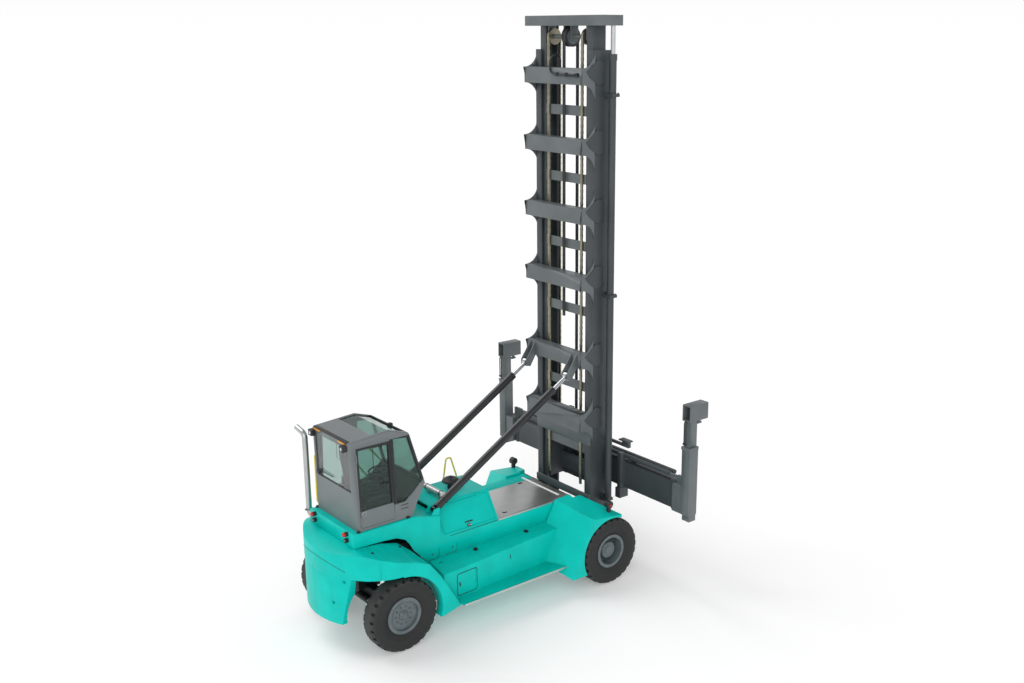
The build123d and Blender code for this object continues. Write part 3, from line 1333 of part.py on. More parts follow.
def build():
    """All nodes by name, still measured from the drive axle."""
    nodes = {}
    nodes["main_frame"] = main_frame()
    nodes["engine_block"] = engine_block()
    nodes["centre_body"] = centre_body()
    nodes["deck_plates"] = deck_plates()
    nodes["step_strips"] = pair(step_strip())
    nodes["front_fenders"] = pair(front_fender())
    nodes["rear_fenders"] = pair(rear_fender())
    hood, hatches = hood_parts()
    nodes["engine_hood"] = hood
    left_tank, right_tank, tank_hatch = tank_parts()
    nodes["side_tanks"] = Compound([left_tank, right_tank])
    nodes["tank_hatch"] = tank_hatch
    nodes["drive_axle"] = drive_axle()
    nodes["steer_axle"] = steer_axle()
    nodes["counterweights"] = Compound([counterweight_upper(), counterweight_lower()])
    frame, glass, doors, door_glass = cab_parts()
    nodes["cab_frame"] = frame
    nodes["cab_glass"] = glass
    nodes["seat"] = seat()
    nodes["console"] = console()
    nodes["exhaust_stack"] = exhaust_stack()
    nodes["air_cleaner"], nodes["canister"] = intake_parts()
    nodes["handrails"] = handrails()
    nodes["lamps"] = lamps()
    nodes["outer_uprights"] = outer_uprights()
    nodes["mast_bows"] = mast_bows()
    nodes["lift_barrels"] = lift_barrels()
    nodes["inner_uprights"] = inner_uprights()
    nodes["inner_bars"] = inner_bars()
    nodes["mast_head"] = mast_head()
    nodes["lift_rods"] = lift_rods()
    nodes["lift_chains"] = lift_chains()
    nodes["hose_sheave"] = hose_sheave()
    nodes["carriage"] = carriage()
    nodes["spreader_beam"] = spreader_beam()
    rear_cell, front_cell = arm_cells()
    for name, side, cell in (("left", 1, front_cell), ("right", -1, rear_cell)):
        nodes["engine_hatch_" + name] = hatches[side]
        nodes["cab_door_" + name] = doors[side]
        nodes["door_glass_" + name] = door_glass[side]
        nodes["drive_tyres_" + name] = on_side(drive_tyres(), side)
        nodes["drive_rims_" + name] = on_side(drive_rims(), side)
        nodes["knuckle_" + name] = on_side(knuckle(), side)
        nodes["steer_rim_" + name] = on_side(steer_rim(), side)
        nodes["steer_tyre_" + name] = on_side(steer_tyre(), side)
        nodes["tilt_barrel_" + name] = on_side(tilt_barrel(), side)
        nodes["tilt_rod_" + name] = on_side(tilt_rod(), side)
        nodes["spreader_arm_" + name] = on_side(spreader_arm(cell, side), side)
        nodes["spreader_head_" + name] = on_side(spreader_head(), side)
    nodes["tilt_mounts"] = Compound(tilt_mounts())
    return nodes


def main():
    os.makedirs("parts", exist_ok=True)
    for name, shape in build().items():
        export_step(Pos(FRAME_SHIFT, 0, 0) * shape, os.path.join("parts", name + ".step"))
        print(name)


if __name__ == "__main__":
    main()
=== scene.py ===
import math
import bmesh
import bpy
from mathutils import Matrix, Vector


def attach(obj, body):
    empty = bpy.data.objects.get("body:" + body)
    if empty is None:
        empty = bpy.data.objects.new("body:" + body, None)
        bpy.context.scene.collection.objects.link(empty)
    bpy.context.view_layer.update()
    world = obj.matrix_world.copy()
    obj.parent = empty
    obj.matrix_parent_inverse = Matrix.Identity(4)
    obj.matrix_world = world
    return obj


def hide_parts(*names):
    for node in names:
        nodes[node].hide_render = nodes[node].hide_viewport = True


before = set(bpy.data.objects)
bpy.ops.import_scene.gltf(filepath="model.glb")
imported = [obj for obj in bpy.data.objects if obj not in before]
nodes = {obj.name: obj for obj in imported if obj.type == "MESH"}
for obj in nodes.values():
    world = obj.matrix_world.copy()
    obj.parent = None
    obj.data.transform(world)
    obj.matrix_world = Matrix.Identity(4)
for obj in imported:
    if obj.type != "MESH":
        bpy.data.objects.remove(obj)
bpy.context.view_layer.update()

# Places below are in millimetres from the drive axle's centre on the ground, as in the part's source
SIDES = (("left", 1), ("right", -1))
AXLE_Z = 685
STEER_X = -4600
# How far the drive axle stands ahead of the frame's origin
AXLE_AHEAD = 2194.0
# Cab shell: floor height, half width there, and lean of the sides inward and of the rear wall outward
CAB_FLOOR, CAB_HALF, CAB_LEAN, REAR_LEAN = 2250, 736, 0.0567, 0.0427


def place(x, y, z):
    """A place in millimetres from the drive axle, in the frame's metres."""
    return Vector(((x + AXLE_AHEAD) / 1000, y / 1000, z / 1000))


def mirrored(spot, side):
    """A place given for the left side, on either side."""
    return (spot[0], side * spot[1], spot[2])


# Materials


def linear(code):
    """An sRGB hex colour as linear RGBA."""
    parts = [int(code[i : i + 2], 16) / 255 for i in (1, 3, 5)]
    return [c / 12.92 if c <= 0.04045 else ((c + 0.055) / 1.055) ** 2.4 for c in parts] + [1.0]


def add(tree, kind, inputs, out=0, **settings):
    """Adds one node with its settings, values or links on its inputs, and gives back one output."""
    made = tree.nodes.new(kind)
    for key, value in settings.items():
        setattr(made, key, value)
    for key, value in inputs.items():
        if isinstance(value, bpy.types.NodeSocket):
            tree.links.new(value, made.inputs[key])
        else:
            made.inputs[key].default_value = value
    return made.outputs[out] if len(made.outputs) else None


def start(name):
    """An empty material and the object's own coordinates in metres."""
    mat = bpy.data.materials.new(name)
    mat.use_nodes = True
    mat.node_tree.nodes.clear()
    return mat, mat.node_tree, add(mat.node_tree, "ShaderNodeTexCoord", {}, "Object")


# Peel, grain, brushed lines and threads are drawn coarser than real ones, so that they show close up
PEEL_MM, PEEL_DEEP_MM = 5.0, 0.06
RING_MM = 22
# Blender's wave bands repeat at this distance where their scale is 1
BAND_MM = 314
# Patterns that are set by how many a metre holds
GLOSS_PATCHES = 26  # about 38 mm each, on paint
CAB_TONES = 2.4  # about 420 mm
METAL_TONES = 3.8  # about 260 mm
PLASTIC_TONES = 11  # about 90 mm
RUBBER_GRAINS = 167  # about 6 mm
DUST_PATCHES = 7  # about 140 mm
GLASS_TONES = 5.5  # about 180 mm
FLOOR_TONES = 0.4  # 2.5 m


def painted(name, code, deep, rough, shine=0.4, peel_mm=PEEL_MM, peel=PEEL_DEEP_MM, blotch_mm=420.0):
    """Sprayed paint: slow drift of colour between two tones, fine orange peel, and uneven gloss."""
    mat, tree, coords = start(name)
    slow = add(tree, "ShaderNodeTexNoise", {"Vector": coords, "Scale": 1000 / blotch_mm, "Detail": 3}, "Fac")
    fine = add(tree, "ShaderNodeTexNoise", {"Vector": coords, "Scale": GLOSS_PATCHES, "Detail": 4}, "Fac")
    skin = add(tree, "ShaderNodeTexNoise", {"Vector": coords, "Scale": 1000 / peel_mm, "Detail": 1}, "Fac")
    span = add(tree, "ShaderNodeMapRange", {"Value": slow, "From Min": 0.34, "From Max": 0.66})
    mixed = {"Factor": span, "A": linear(code), "B": linear(deep)}
    colour = add(tree, "ShaderNodeMix", mixed, "Result", data_type="RGBA")
    gloss = add(tree, "ShaderNodeMapRange", {"Value": fine, "To Min": rough - 0.06, "To Max": rough + 0.08})
    bump = add(tree, "ShaderNodeBump", {"Height": skin, "Distance": peel / 1000, "Strength": 0.6})
    look = {"Base Color": colour, "Roughness": gloss, "Normal": bump, "Specular IOR Level": shine}
    surface = add(tree, "ShaderNodeBsdfPrincipled", look)
    add(tree, "ShaderNodeOutputMaterial", {"Surface": surface})
    return mat


# Edges of the painted shade on the cab's inner faces, and of the sill, side pillars and door frame, in the
# frame's metres
INNER_SHADE_HALF, INNER_SHADE_REAR, INNER_SHADE_TOP = 0.8366, -2.81, 3.85
# The sill is level up to an X and climbs ahead of it
SILL_Z, SILL_FROM, SILL_RISE = 2.565, -1.946, 0.8
PILLAR_TOP, PILLAR_REAR = 3.785, -2.181
# Middle and half size of the door's dark frame, in Z and X
DOOR_FRAME_Z, DOOR_FRAME_X = (3.187, 0.575), (-2.513, 0.343)


def cab_enamel(name, code, deep, dark):
    """Cab paint: grey enamel outside, dark on the upper door frame and the side pillars, and painted shade,
    nearly black, on all inner faces.
    """
    mat, tree, coords = start(name)
    made = {axis.lower(): add(tree, "ShaderNodeSeparateXYZ", {0: coords}, axis) for axis in "XYZ"}
    # Each step: its name, the sum done, and what goes in
    steps = (
        # The first eight steps mark the inner faces, which get painted shade
        ("wide", "ABSOLUTE", "y"),
        ("lean", "MULTIPLY_ADD", "z", CAB_LEAN, "wide"),
        ("back", "MULTIPLY_ADD", "z", REAR_LEAN, "x"),
        ("within", "LESS_THAN", "lean", INNER_SHADE_HALF),
        ("ahead", "GREATER_THAN", "back", INNER_SHADE_REAR),
        ("under", "LESS_THAN", "z", INNER_SHADE_TOP),
        ("shade_box", "MULTIPLY", "within", "ahead"),
        ("inside", "MULTIPLY", "shade_box", "under"),
        ("forward", "ADD", "x", -SILL_FROM),
        ("rise", "MAXIMUM", "forward", 0.0),
        ("sill", "MULTIPLY_ADD", "rise", SILL_RISE, SILL_Z),
        ("over", "GREATER_THAN", "z", "sill"),
        ("below", "LESS_THAN", "z", PILLAR_TOP),
        ("front", "GREATER_THAN", "x", PILLAR_REAR),
        ("band", "MULTIPLY", "over", "below"),
        ("pillar", "MULTIPLY", "band", "front"),
        ("door_z", "COMPARE", "z", *DOOR_FRAME_Z),
        ("door_x", "COMPARE", "x", *DOOR_FRAME_X),
        ("door", "MULTIPLY", "door_z", "door_x"),
        ("outer", "MAXIMUM", "pillar", "door"),
        ("mask", "MAXIMUM", "inside", "outer"),
    )
    for step, operation, *values in steps:
        inputs = {i: made.get(value, value) for i, value in enumerate(values)}
        made[step] = add(tree, "ShaderNodeMath", inputs, operation=operation)
    slow = add(tree, "ShaderNodeTexNoise", {"Vector": coords, "Scale": CAB_TONES, "Detail": 3}, "Fac")
    fine = add(tree, "ShaderNodeTexNoise", {"Vector": coords, "Scale": GLOSS_PATCHES, "Detail": 4}, "Fac")
    skin = add(tree, "ShaderNodeTexNoise", {"Vector": coords, "Scale": 1000 / PEEL_MM, "Detail": 1}, "Fac")
    mixed = {"Factor": slow, "A": linear(code), "B": linear(deep)}
    paint = add(tree, "ShaderNodeMix", mixed, "Result", data_type="RGBA")
    # The dark colour is frame paint outside and painted shade on the inner faces
    mixed = {"Factor": made["mask"], "A": paint, "B": linear(dark)}
    colour = add(tree, "ShaderNodeMix", mixed, "Result", data_type="RGBA")
    gloss = add(tree, "ShaderNodeMapRange", {"Value": fine, "To Min": 0.36, "To Max": 0.5})
    bump = add(tree, "ShaderNodeBump", {"Height": skin, "Distance": PEEL_DEEP_MM / 1000, "Strength": 0.6})
    look = {"Base Color": colour, "Roughness": gloss, "Normal": bump}
    surface = add(tree, "ShaderNodeBsdfPrincipled", look)
    add(tree, "ShaderNodeOutputMaterial", {"Surface": surface})
    return mat


def metal(name, code, deep, rough, stretch, line_mm=1.2, depth=0.02):
    """Bare metal with fine lines drawn along one axis and a slow change of tone."""
    mat, tree, coords = start(name)
    drawn = add(tree, "ShaderNodeMapping", {"Vector": coords, "Scale": stretch})
    lines = add(tree, "ShaderNodeTexNoise", {"Vector": drawn, "Scale": 1000 / line_mm, "Detail": 3}, "Fac")
    slow = add(tree, "ShaderNodeTexNoise", {"Vector": coords, "Scale": METAL_TONES, "Detail": 2}, "Fac")
    mixed = {"Factor": slow, "A": linear(code), "B": linear(deep)}
    colour = add(tree, "ShaderNodeMix", mixed, "Result", data_type="RGBA")
    gloss = add(tree, "ShaderNodeMapRange", {"Value": lines, "To Min": rough - 0.07, "To Max": rough + 0.1})
    bump = add(tree, "ShaderNodeBump", {"Height": lines, "Distance": depth / 1000, "Strength": 0.5})
    look = {"Base Color": colour, "Roughness": gloss, "Normal": bump, "Metallic": 1.0}
    surface = add(tree, "ShaderNodeBsdfPrincipled", look)
    add(tree, "ShaderNodeOutputMaterial", {"Surface": surface})
    return mat


def plain_plastic(name, code, deep, rough, grain_mm=1.4, depth=0.05):
    """Moulded plastic or rubber with a fine leathery grain."""
    mat, tree, coords = start(name)
    cells = add(tree, "ShaderNodeTexVoronoi", {"Vector": coords, "Scale": 1000 / grain_mm}, "Distance")
    slow = add(tree, "ShaderNodeTexNoise", {"Vector": coords, "Scale": PLASTIC_TONES, "Detail": 3}, "Fac")
    mixed = {"Factor": slow, "A": linear(code), "B": linear(deep)}
    colour = add(tree, "ShaderNodeMix", mixed, "Result", data_type="RGBA")
    gloss = add(tree, "ShaderNodeMapRange", {"Value": slow, "To Min": rough - 0.05, "To Max": rough + 0.07})
    bump = add(tree, "ShaderNodeBump", {"Height": cells, "Distance": depth / 1000, "Strength": 0.5})
    look = {"Base Color": colour, "Roughness": gloss, "Normal": bump}
    surface = add(tree, "ShaderNodeBsdfPrincipled", look)
    add(tree, "ShaderNodeOutputMaterial", {"Surface": surface})
    return mat


def tyre_rubber(name, centre_x):
    """Tyre rubber: fine rings moulded round the sidewall, a dusty crown and a grainy skin."""
    mat, tree, coords = start(name)
    hub = (-(centre_x + AXLE_AHEAD) / 1000, 0, -AXLE_Z / 1000)
    moved = add(tree, "ShaderNodeMapping", {"Vector": coords, "Location": hub})
    flat = add(tree, "ShaderNodeVectorMath", {0: moved, 1: (1, 0, 1)}, operation="MULTIPLY")
    radius = add(tree, "ShaderNodeVectorMath", {0: flat}, "Value", operation="LENGTH")
    turns = add(tree, "ShaderNodeMath", {0: radius, 1: 2 * math.pi * 1000 / RING_MM}, operation="MULTIPLY")
    wave = add(tree, "ShaderNodeMath", {0: turns}, operation="SINE")
    grain = add(tree, "ShaderNodeTexNoise", {"Vector": coords, "Scale": RUBBER_GRAINS, "Detail": 4}, "Fac")
    dust = add(tree, "ShaderNodeTexNoise", {"Vector": coords, "Scale": DUST_PATCHES, "Detail": 4}, "Fac")
    reach = {"Value": radius, "From Min": 0.60, "From Max": 0.69, "To Min": 0.08, "To Max": 0.5}
    crown = add(tree, "ShaderNodeMapRange", reach)
    dusty = add(tree, "ShaderNodeMath", {0: crown, 1: dust}, operation="MULTIPLY")
    mixed = {"Factor": dusty, "A": linear("#1F2021"), "B": linear("#565553")}
    colour = add(tree, "ShaderNodeMix", mixed, "Result", data_type="RGBA")
    gloss = add(tree, "ShaderNodeMapRange", {"Value": grain, "To Min": 0.62, "To Max": 0.86})
    height = add(tree, "ShaderNodeMath", {0: wave, 1: 0.35, 2: grain}, operation="MULTIPLY_ADD")
    bump = add(tree, "ShaderNodeBump", {"Height": height, "Distance": 0.0012, "Strength": 0.55})
    look = {"Base Color": colour, "Roughness": gloss, "Normal": bump}
    surface = add(tree, "ShaderNodeBsdfPrincipled", look)
    add(tree, "ShaderNodeOutputMaterial", {"Surface": surface})
    return mat


# The rear pane lies behind this X, in the frame's metres
REAR_PANE = -2.87
# Under real glass's 1.5, which mirrors and bends the light less
GLASS_IOR = 1.32


def glass(name, code, clear, weight):
    """Safety glass: smooth, tinted in its body, and nearly clear in the rear pane."""
    mat, tree, coords = start(name)
    slow = add(tree, "ShaderNodeTexNoise", {"Vector": coords, "Scale": GLASS_TONES, "Detail": 2}, "Fac")
    gloss = add(tree, "ShaderNodeMapRange", {"Value": slow, "To Min": 0.01, "To Max": 0.04})
    along = add(tree, "ShaderNodeSeparateXYZ", {0: coords})
    rear = add(tree, "ShaderNodeMath", {0: along, 1: REAR_PANE}, operation="LESS_THAN")
    mixed = {"Factor": rear, "A": linear(code), "B": linear(clear)}
    colour = add(tree, "ShaderNodeMix", mixed, "Result", data_type="RGBA")
    look = {"Base Color": colour, "Roughness": gloss, "Transmission Weight": weight, "IOR": GLASS_IOR}
    surface = add(tree, "ShaderNodeBsdfPrincipled", look)
    add(tree, "ShaderNodeOutputMaterial", {"Surface": surface})
    return mat


def woven(name, code, deep, thread_mm=5.0):
    """Seat cloth: crossed threads with a soft sheen."""
    mat, tree, coords = start(name)
    bands = {"Vector": coords, "Scale": BAND_MM / thread_mm}
    across = add(tree, "ShaderNodeTexWave", bands, "Fac", bands_direction="Y")
    along = add(tree, "ShaderNodeTexWave", bands, "Fac", bands_direction="DIAGONAL")
    weave = add(tree, "ShaderNodeMath", {0: across, 1: along}, operation="MAXIMUM")
    mixed = {"Factor": weave, "A": linear(deep), "B": linear(code)}
    colour = add(tree, "ShaderNodeMix", mixed, "Result", data_type="RGBA")
    bump = add(tree, "ShaderNodeBump", {"Height": weave, "Distance": 0.0008, "Strength": 0.7})
    look = {"Base Color": colour, "Normal": bump, "Roughness": 0.9, "Sheen Weight": 0.3}
    surface = add(tree, "ShaderNodeBsdfPrincipled", look)
    add(tree, "ShaderNodeOutputMaterial", {"Surface": surface})
    return mat


# Body enamel, sprayed: bright even teal with a weak, soft highlight
TEAL = painted("enamel_teal", "#00C6BA", "#00BCB1", 0.4, shine=0.14)
# Mast enamel, sprayed: mid grey with slow patches of tone; its darker copy below is painted shade
GREY = painted("enamel_mast_grey", "#646A6C", "#585E60", 0.38, blotch_mm=700)
# Mast enamel painted darker as shade: sets uprights, carriage and beam behind the bows and arms
MAST_SHADE_GREY = painted("enamel_mast_painted_shade", "#41474A", "#383E41", 0.4, blotch_mm=700)
# Cab enamel: grey skin round a dark frame, with painted shade on the inner faces
CAB_GREY = cab_enamel("enamel_cab_grey", "#72787A", "#686E70", "#1A1D1F")
# Wheel enamel: blue grey with smaller patches of tone
RIM_GREY = painted("enamel_rim_grey", "#667074", "#586266", 0.36, blotch_mm=160)
# Chassis paint: dull black that goes into the shadow
BLACK = painted("paint_black", "#1D2022", "#26292B", 0.5)
# Cylinder lacquer: smooth black with a clear highlight along the barrel
GLOSS_BLACK = painted("gloss_black", "#16181A", "#1C1F21", 0.24, shine=0.6, peel=0.02)
# White paint: one clean line across the deck
WHITE = painted("paint_white", "#F1F3F3", "#E8EBEB", 0.4)
# Rail enamel: clear warning yellow
YELLOW = painted("enamel_yellow", "#E8D43A", "#DCC52C", 0.35, shine=0.3)
# Hard chrome, ground: sharp glints along the rods
CHROME = metal("chrome_rod", "#C9CCCF", "#B4B8BC", 0.16, (1, 1, 0.05))
# Bright tread plate, brushed along X: pale, with drawn-out lights
PLATE = metal("bright_plate", "#D3D4D3", "#B9BBBA", 0.34, (0.02, 1, 1), 2.5, 0.03)
# Bright pipe steel, brushed: a soft light along the pipe
STEEL = metal("brushed_steel", "#C4C6C6", "#A9ACAC", 0.33, (1, 1, 0.08))
# Oiled chain steel: brownish, mottled and half bright
CHAIN = metal("oiled_steel", "#A8A48F", "#6B685B", 0.4, (1, 1, 1), 9, 0.1)
# Cast iron: rough, dark and dull
IRON = painted("engine_iron", "#3A3D3F", "#2C2E30", 0.6, peel_mm=9, peel=0.2)
# Moulded plastic: black, half gloss, with a leathery grain
PLASTIC = plain_plastic("black_plastic", "#1B1C1D", "#242628", 0.5)
# Seal rubber: nearly black and dull
RUBBER = plain_plastic("seal_rubber", "#141516", "#1C1D1E", 0.7, 2.2, 0.04)
# Hose rubber: dark grey, a little smoother than the seals
HOSE = plain_plastic("hose_rubber", "#222425", "#2B2D2E", 0.55, 3.0, 0.08)
# Seat cloth, woven: dark, dull and threaded
CLOTH = woven("seat_cloth", "#2A2D31", "#1B1D20")
# Tinted safety glass: grey green, and clear enough to show the seat
GLASS = glass("green_glass", "#9DBDB5", "#E6EBEA", 0.96)
# Red lens plastic: strong colour, glossy
RED = plain_plastic("lamp_red", "#C8231C", "#B01A15", 0.2, 3.0, 0.1)
# Amber lens plastic: warm and glossy
AMBER = plain_plastic("lamp_amber", "#E9A245", "#DC9236", 0.22, 3.0, 0.1)
# Silvered reflector: a small bright spot
MIRROR = metal("mirror_face", "#D9DCDE", "#D2D5D8", 0.1, (1, 1, 1), 40, 0.0)
# Tyre rubber: dull black, with rings on the wall and dust on the tread
DRIVE_RUBBER = tyre_rubber("drive_tyre_rubber", 0)
STEER_RUBBER = tyre_rubber("steer_tyre_rubber", STEER_X)

# Material of each CAD node
FINISH = {
    TEAL: "centre_body front_fenders rear_fenders engine_hood side_tanks counterweights tank_hatch"
    " engine_hatch_left engine_hatch_right tilt_mounts",
    GREY: "mast_bows inner_bars mast_head spreader_arm_left spreader_arm_right"
    " spreader_head_left spreader_head_right",
    # Painted shade: these take the darker copy of the mast enamel
    MAST_SHADE_GREY: "outer_uprights inner_uprights carriage spreader_beam lift_barrels",
    CAB_GREY: "cab_frame cab_door_left cab_door_right",
    BLACK: "main_frame drive_axle steer_axle knuckle_left knuckle_right",
    GLOSS_BLACK: "tilt_barrel_left tilt_barrel_right",
    YELLOW: "handrails",
    CHROME: "lift_rods tilt_rod_left tilt_rod_right",
    PLATE: "deck_plates step_strips",
    STEEL: "exhaust_stack canister",
    CHAIN: "lift_chains",
    IRON: "engine_block",
    PLASTIC: "air_cleaner console lamps",
    HOSE: "hose_sheave",
    CLOTH: "seat",
    GLASS: "cab_glass door_glass_left door_glass_right",
    DRIVE_RUBBER: "drive_tyres_left drive_tyres_right",
    STEER_RUBBER: "steer_tyre_left steer_tyre_right",
    RIM_GREY: "drive_rims_left drive_rims_right steer_rim_left steer_rim_right",
}
# Bends sharper than these are edges: on dressed pieces and softened nodes, and on all CAD nodes
EDGE_ANGLE, NODE_ANGLE = math.radians(38), math.radians(32)
WELD_MM = 0.05
# Width of the softened edge of each CAD node that has one, in millimetres
SOFT_EDGE = {
    "centre_body": 12, "front_fenders": 18, "rear_fenders": 35, "engine_hood": 6, "side_tanks": 10,
    "counterweights": 35, "outer_uprights": 6, "mast_bows": 5, "inner_uprights": 6, "mast_head": 7,
    "spreader_beam": 5, "spreader_head_left": 6, "spreader_head_right": 6, "carriage": 5, "cab_frame": 6,
    "spreader_arm_left": 5, "spreader_arm_right": 5, "cab_door_left": 5, "cab_door_right": 5,
    "deck_plates": 3,
}
for finish, names in FINISH.items():
    for name in names.split():
        mesh = nodes[name].data
        mesh.materials.clear()
        mesh.materials.append(finish)
for name, width in SOFT_EDGE.items():
    weld = nodes[name].modifiers.new("weld", "WELD")
    weld.merge_threshold = WELD_MM / 1000
    soft = nodes[name].modifiers.new("edge", "BEVEL")
    soft.width = width / 1000
    soft.segments = 3
    soft.limit_method = "ANGLE"
    soft.angle_limit = EDGE_ANGLE
    soft.harden_normals = True
for node in nodes.values():
    for face in node.data.polygons:
        face.use_smooth = True
    node.data.set_sharp_from_angle(angle=NODE_ANGLE)

# Mesh helpers


def tile(bm, centre, across, normal, size, bevel=2.0):
    """A box standing on a face: its foot's centre, directions across and out, and width, height, depth."""
    out = Vector(normal).normalized()
    side = (Vector(across) - out * out.dot(Vector(across))).normalized()
    turn = Matrix((side, out.cross(side), out)).transposed().to_4x4()
    middle = place(*centre) + out * size[2] / 2000
    scale = Matrix.Diagonal((size[0] / 1000, size[1] / 1000, size[2] / 1000, 1))
    verts = bmesh.ops.create_cube(bm, size=1, matrix=Matrix.Translation(middle) @ turn @ scale)["verts"]
    if bevel:
        edges = list(dict.fromkeys(e for v in verts for e in v.link_edges))
        bmesh.ops.bevel(bm, geom=edges, offset=bevel / 1000, segments=2, affect="EDGES", profile=0.6)


def brick(bm, low, high, bevel=3.0):
    """A box between two corners in millimetres, with rounded edges."""
    size = [abs(b - a) for a, b in zip(low, high)]
    middle = [(a + b) / 2 for a, b in zip(low, high)]
    tile(bm, (middle[0], middle[1], min(low[2], high[2])), (1, 0, 0), (0, 0, 1), size, bevel)


def lathe(bm, foot, axis, profile, sides=32):
    """A turned form: (distance along axis, radius) steps in millimetres from a foot point."""
    base = place(*foot)
    turn = Vector(axis).to_track_quat("Z", "Y").to_matrix()
    rings = []
    for along, radius in profile:
        ring = []
        for i in range(sides):
            angle = 2 * math.pi * i / sides
            spoke = Vector((math.cos(angle) * radius, math.sin(angle) * radius, along)) / 1000
            ring.append(bm.verts.new(base + turn @ spoke))
        rings.append(ring)
    for first, second in zip(rings, rings[1:]):
        for i in range(sides):
            j = (i + 1) % sides
            bm.faces.new((first[i], first[j], second[j], second[i]))
    bm.faces.new(list(reversed(rings[0])))
    bm.faces.new(rings[-1])


def band(bm, foot, axis, inner, outer, width, sides=32):
    """A flat ring round an axis, standing on its foot point."""
    ease = 1
    rim = ((ease, outer), (width - ease, outer))
    profile = ((0, inner), (0, outer - ease), *rim, (width, outer - ease), (width, inner))
    lathe(bm, foot, axis, profile, sides)


def bar(bm, start_at, end_at, radius, sides=20):
    """A round bar with eased ends between two places in millimetres."""
    run = Vector(end_at) - Vector(start_at)
    ease = min(2.0, radius / 3)
    ends = ((0, radius - ease), (ease, radius), (run.length - ease, radius), (run.length, radius - ease))
    lathe(bm, start_at, run, ends, sides)


def nut(bm, foot, axis, radius, height):
    """A hexagon nut with a stud end."""
    lathe(bm, foot, axis, ((0, radius), (height * 0.8, radius), (height, radius * 0.86)), 6)
    stud = ((height * 0.9, radius * 0.5), (height * 1.35, radius * 0.5), (height * 1.45, radius * 0.4))
    lathe(bm, foot, axis, stud, 10)


def nut_ring(bm, centre, side, count, pitch, radius, height, turn=0.0):
    """Nuts in a circle on a face that looks to one side of the machine."""
    for i in range(count):
        angle = 2 * math.pi * i / count + turn
        spot = (centre[0] + pitch * math.cos(angle), centre[1], centre[2] + pitch * math.sin(angle))
        nut(bm, spot, (0, side, 0), radius, height)


def eased(points, reach, closed=False):
    """The points of a bent line with each corner replaced by a short curve."""
    spots = [Vector(p) for p in points]
    made = []
    count = len(spots)
    for i, spot in enumerate(spots):
        if not closed and i in (0, count - 1):
            made.append(spot)
            continue
        before, after = spots[i - 1], spots[(i + 1) % count]
        first = spot + (before - spot).normalized() * min(reach, (before - spot).length * 0.49)
        last = spot + (after - spot).normalized() * min(reach, (after - spot).length * 0.49)
        for k in range(6):
            t = k / 5
            made.append(first * (1 - t) ** 2 + spot * 2 * t * (1 - t) + last * t * t)
    return made


def sweep(bm, points, radius, sides=10, closed=False):
    """A round section drawn along points in millimetres."""
    spots = [Vector(p) for p in points]
    count = len(spots)
    rings = []
    guide = None
    for i, spot in enumerate(spots):
        ahead = spots[(i + 1) % count] if closed or i < count - 1 else spot
        behind = spots[i - 1] if closed or i > 0 else spot
        run = (ahead - behind).normalized()
        if guide is None:
            guide = run.orthogonal().normalized()
        guide = (guide - run * guide.dot(run)).normalized()
        other = run.cross(guide)
        ring = []
        for k in range(sides):
            angle = 2 * math.pi * k / sides
            spoke = guide * math.cos(angle) + other * math.sin(angle)
            ring.append(bm.verts.new(place(*(spot + spoke * radius))))
        rings.append(ring)
    for first, second in zip(rings, rings[1:] + rings[:1] if closed else rings[1:]):
        for k in range(sides):
            j = (k + 1) % sides
            bm.faces.new((first[k], first[j], second[j], second[k]))
    if not closed:
        bm.faces.new(list(reversed(rings[0])))
        bm.faces.new(rings[-1])


def side_plate(bm, outline, y0, y1):
    """A flat plate with an outline in X and Z, between two Y places."""
    faces = []
    for y in (y0, y1):
        faces.append(bm.faces.new([bm.verts.new(place(x, y, z)) for x, z in outline]))
    count = len(outline)
    for i in range(count):
        j = (i + 1) % count
        bm.faces.new((faces[0].verts[i], faces[0].verts[j], faces[1].verts[j], faces[1].verts[i]))


# Depth of a sewn channel, and its width and the pull on the sides as shares of the pad
STITCH_DEEP, STITCH_WIDE, PULL_IN = 9, 0.05, 0.05


def pad(bm, centre, half, thick, crown, lean, channels, count=36):
    """A stuffed pad: crowned face, pulled-in sides, sewn channels; lean turns it about the Y axis."""
    turn = Matrix.Rotation(lean, 3, "Y")
    sheets = []
    for face in (1, -1):
        grid = []
        for i in range(count + 1):
            row = []
            for j in range(count + 1):
                u, v = 2 * i / count - 1, 2 * j / count - 1
                edge = max(0.0, (1 - u**8) * (1 - v**8)) ** 0.5
                if face < 0 and edge == 0:
                    row.append(sheets[0][i][j])
                    continue
                rise = thick * edge * (0.5 if face < 0 else 1)
                if face > 0:
                    rise += crown * (1 - u * u) * (1 - v * v)
                    sewn = sum(math.exp(-(((v - line) / STITCH_WIDE) ** 2)) for line in channels)
                    rise -= STITCH_DEEP * sewn * edge
                x = half[0] * u * (1 - PULL_IN * (1 - v * v) * u * u)
                y = half[1] * v * (1 - PULL_IN * (1 - u * u) * v * v)
                row.append(bm.verts.new(place(*(Vector(centre) + turn @ Vector((x, y, face * rise))))))
            grid.append(row)
        sheets.append(grid)
    for grid in sheets:
        for i in range(count):
            for j in range(count):
                bm.faces.new((grid[i][j], grid[i + 1][j], grid[i + 1][j + 1], grid[i][j + 1]))


def piece(name, bm, finish, body):
    """Makes the mesh an object that rides on a body."""
    bmesh.ops.recalc_face_normals(bm, faces=bm.faces)
    mesh = bpy.data.meshes.new(name)
    bm.to_mesh(mesh)
    bm.free()
    mesh.materials.append(finish)
    for face in mesh.polygons:
        face.use_smooth = True
    mesh.set_sharp_from_angle(angle=EDGE_ANGLE)
    made = bpy.data.objects.new(name, mesh)
    bpy.context.scene.collection.objects.link(made)
    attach(made, body)
    return made


# Wheels: nuts, hub caps and the steering cylinder's bright rods

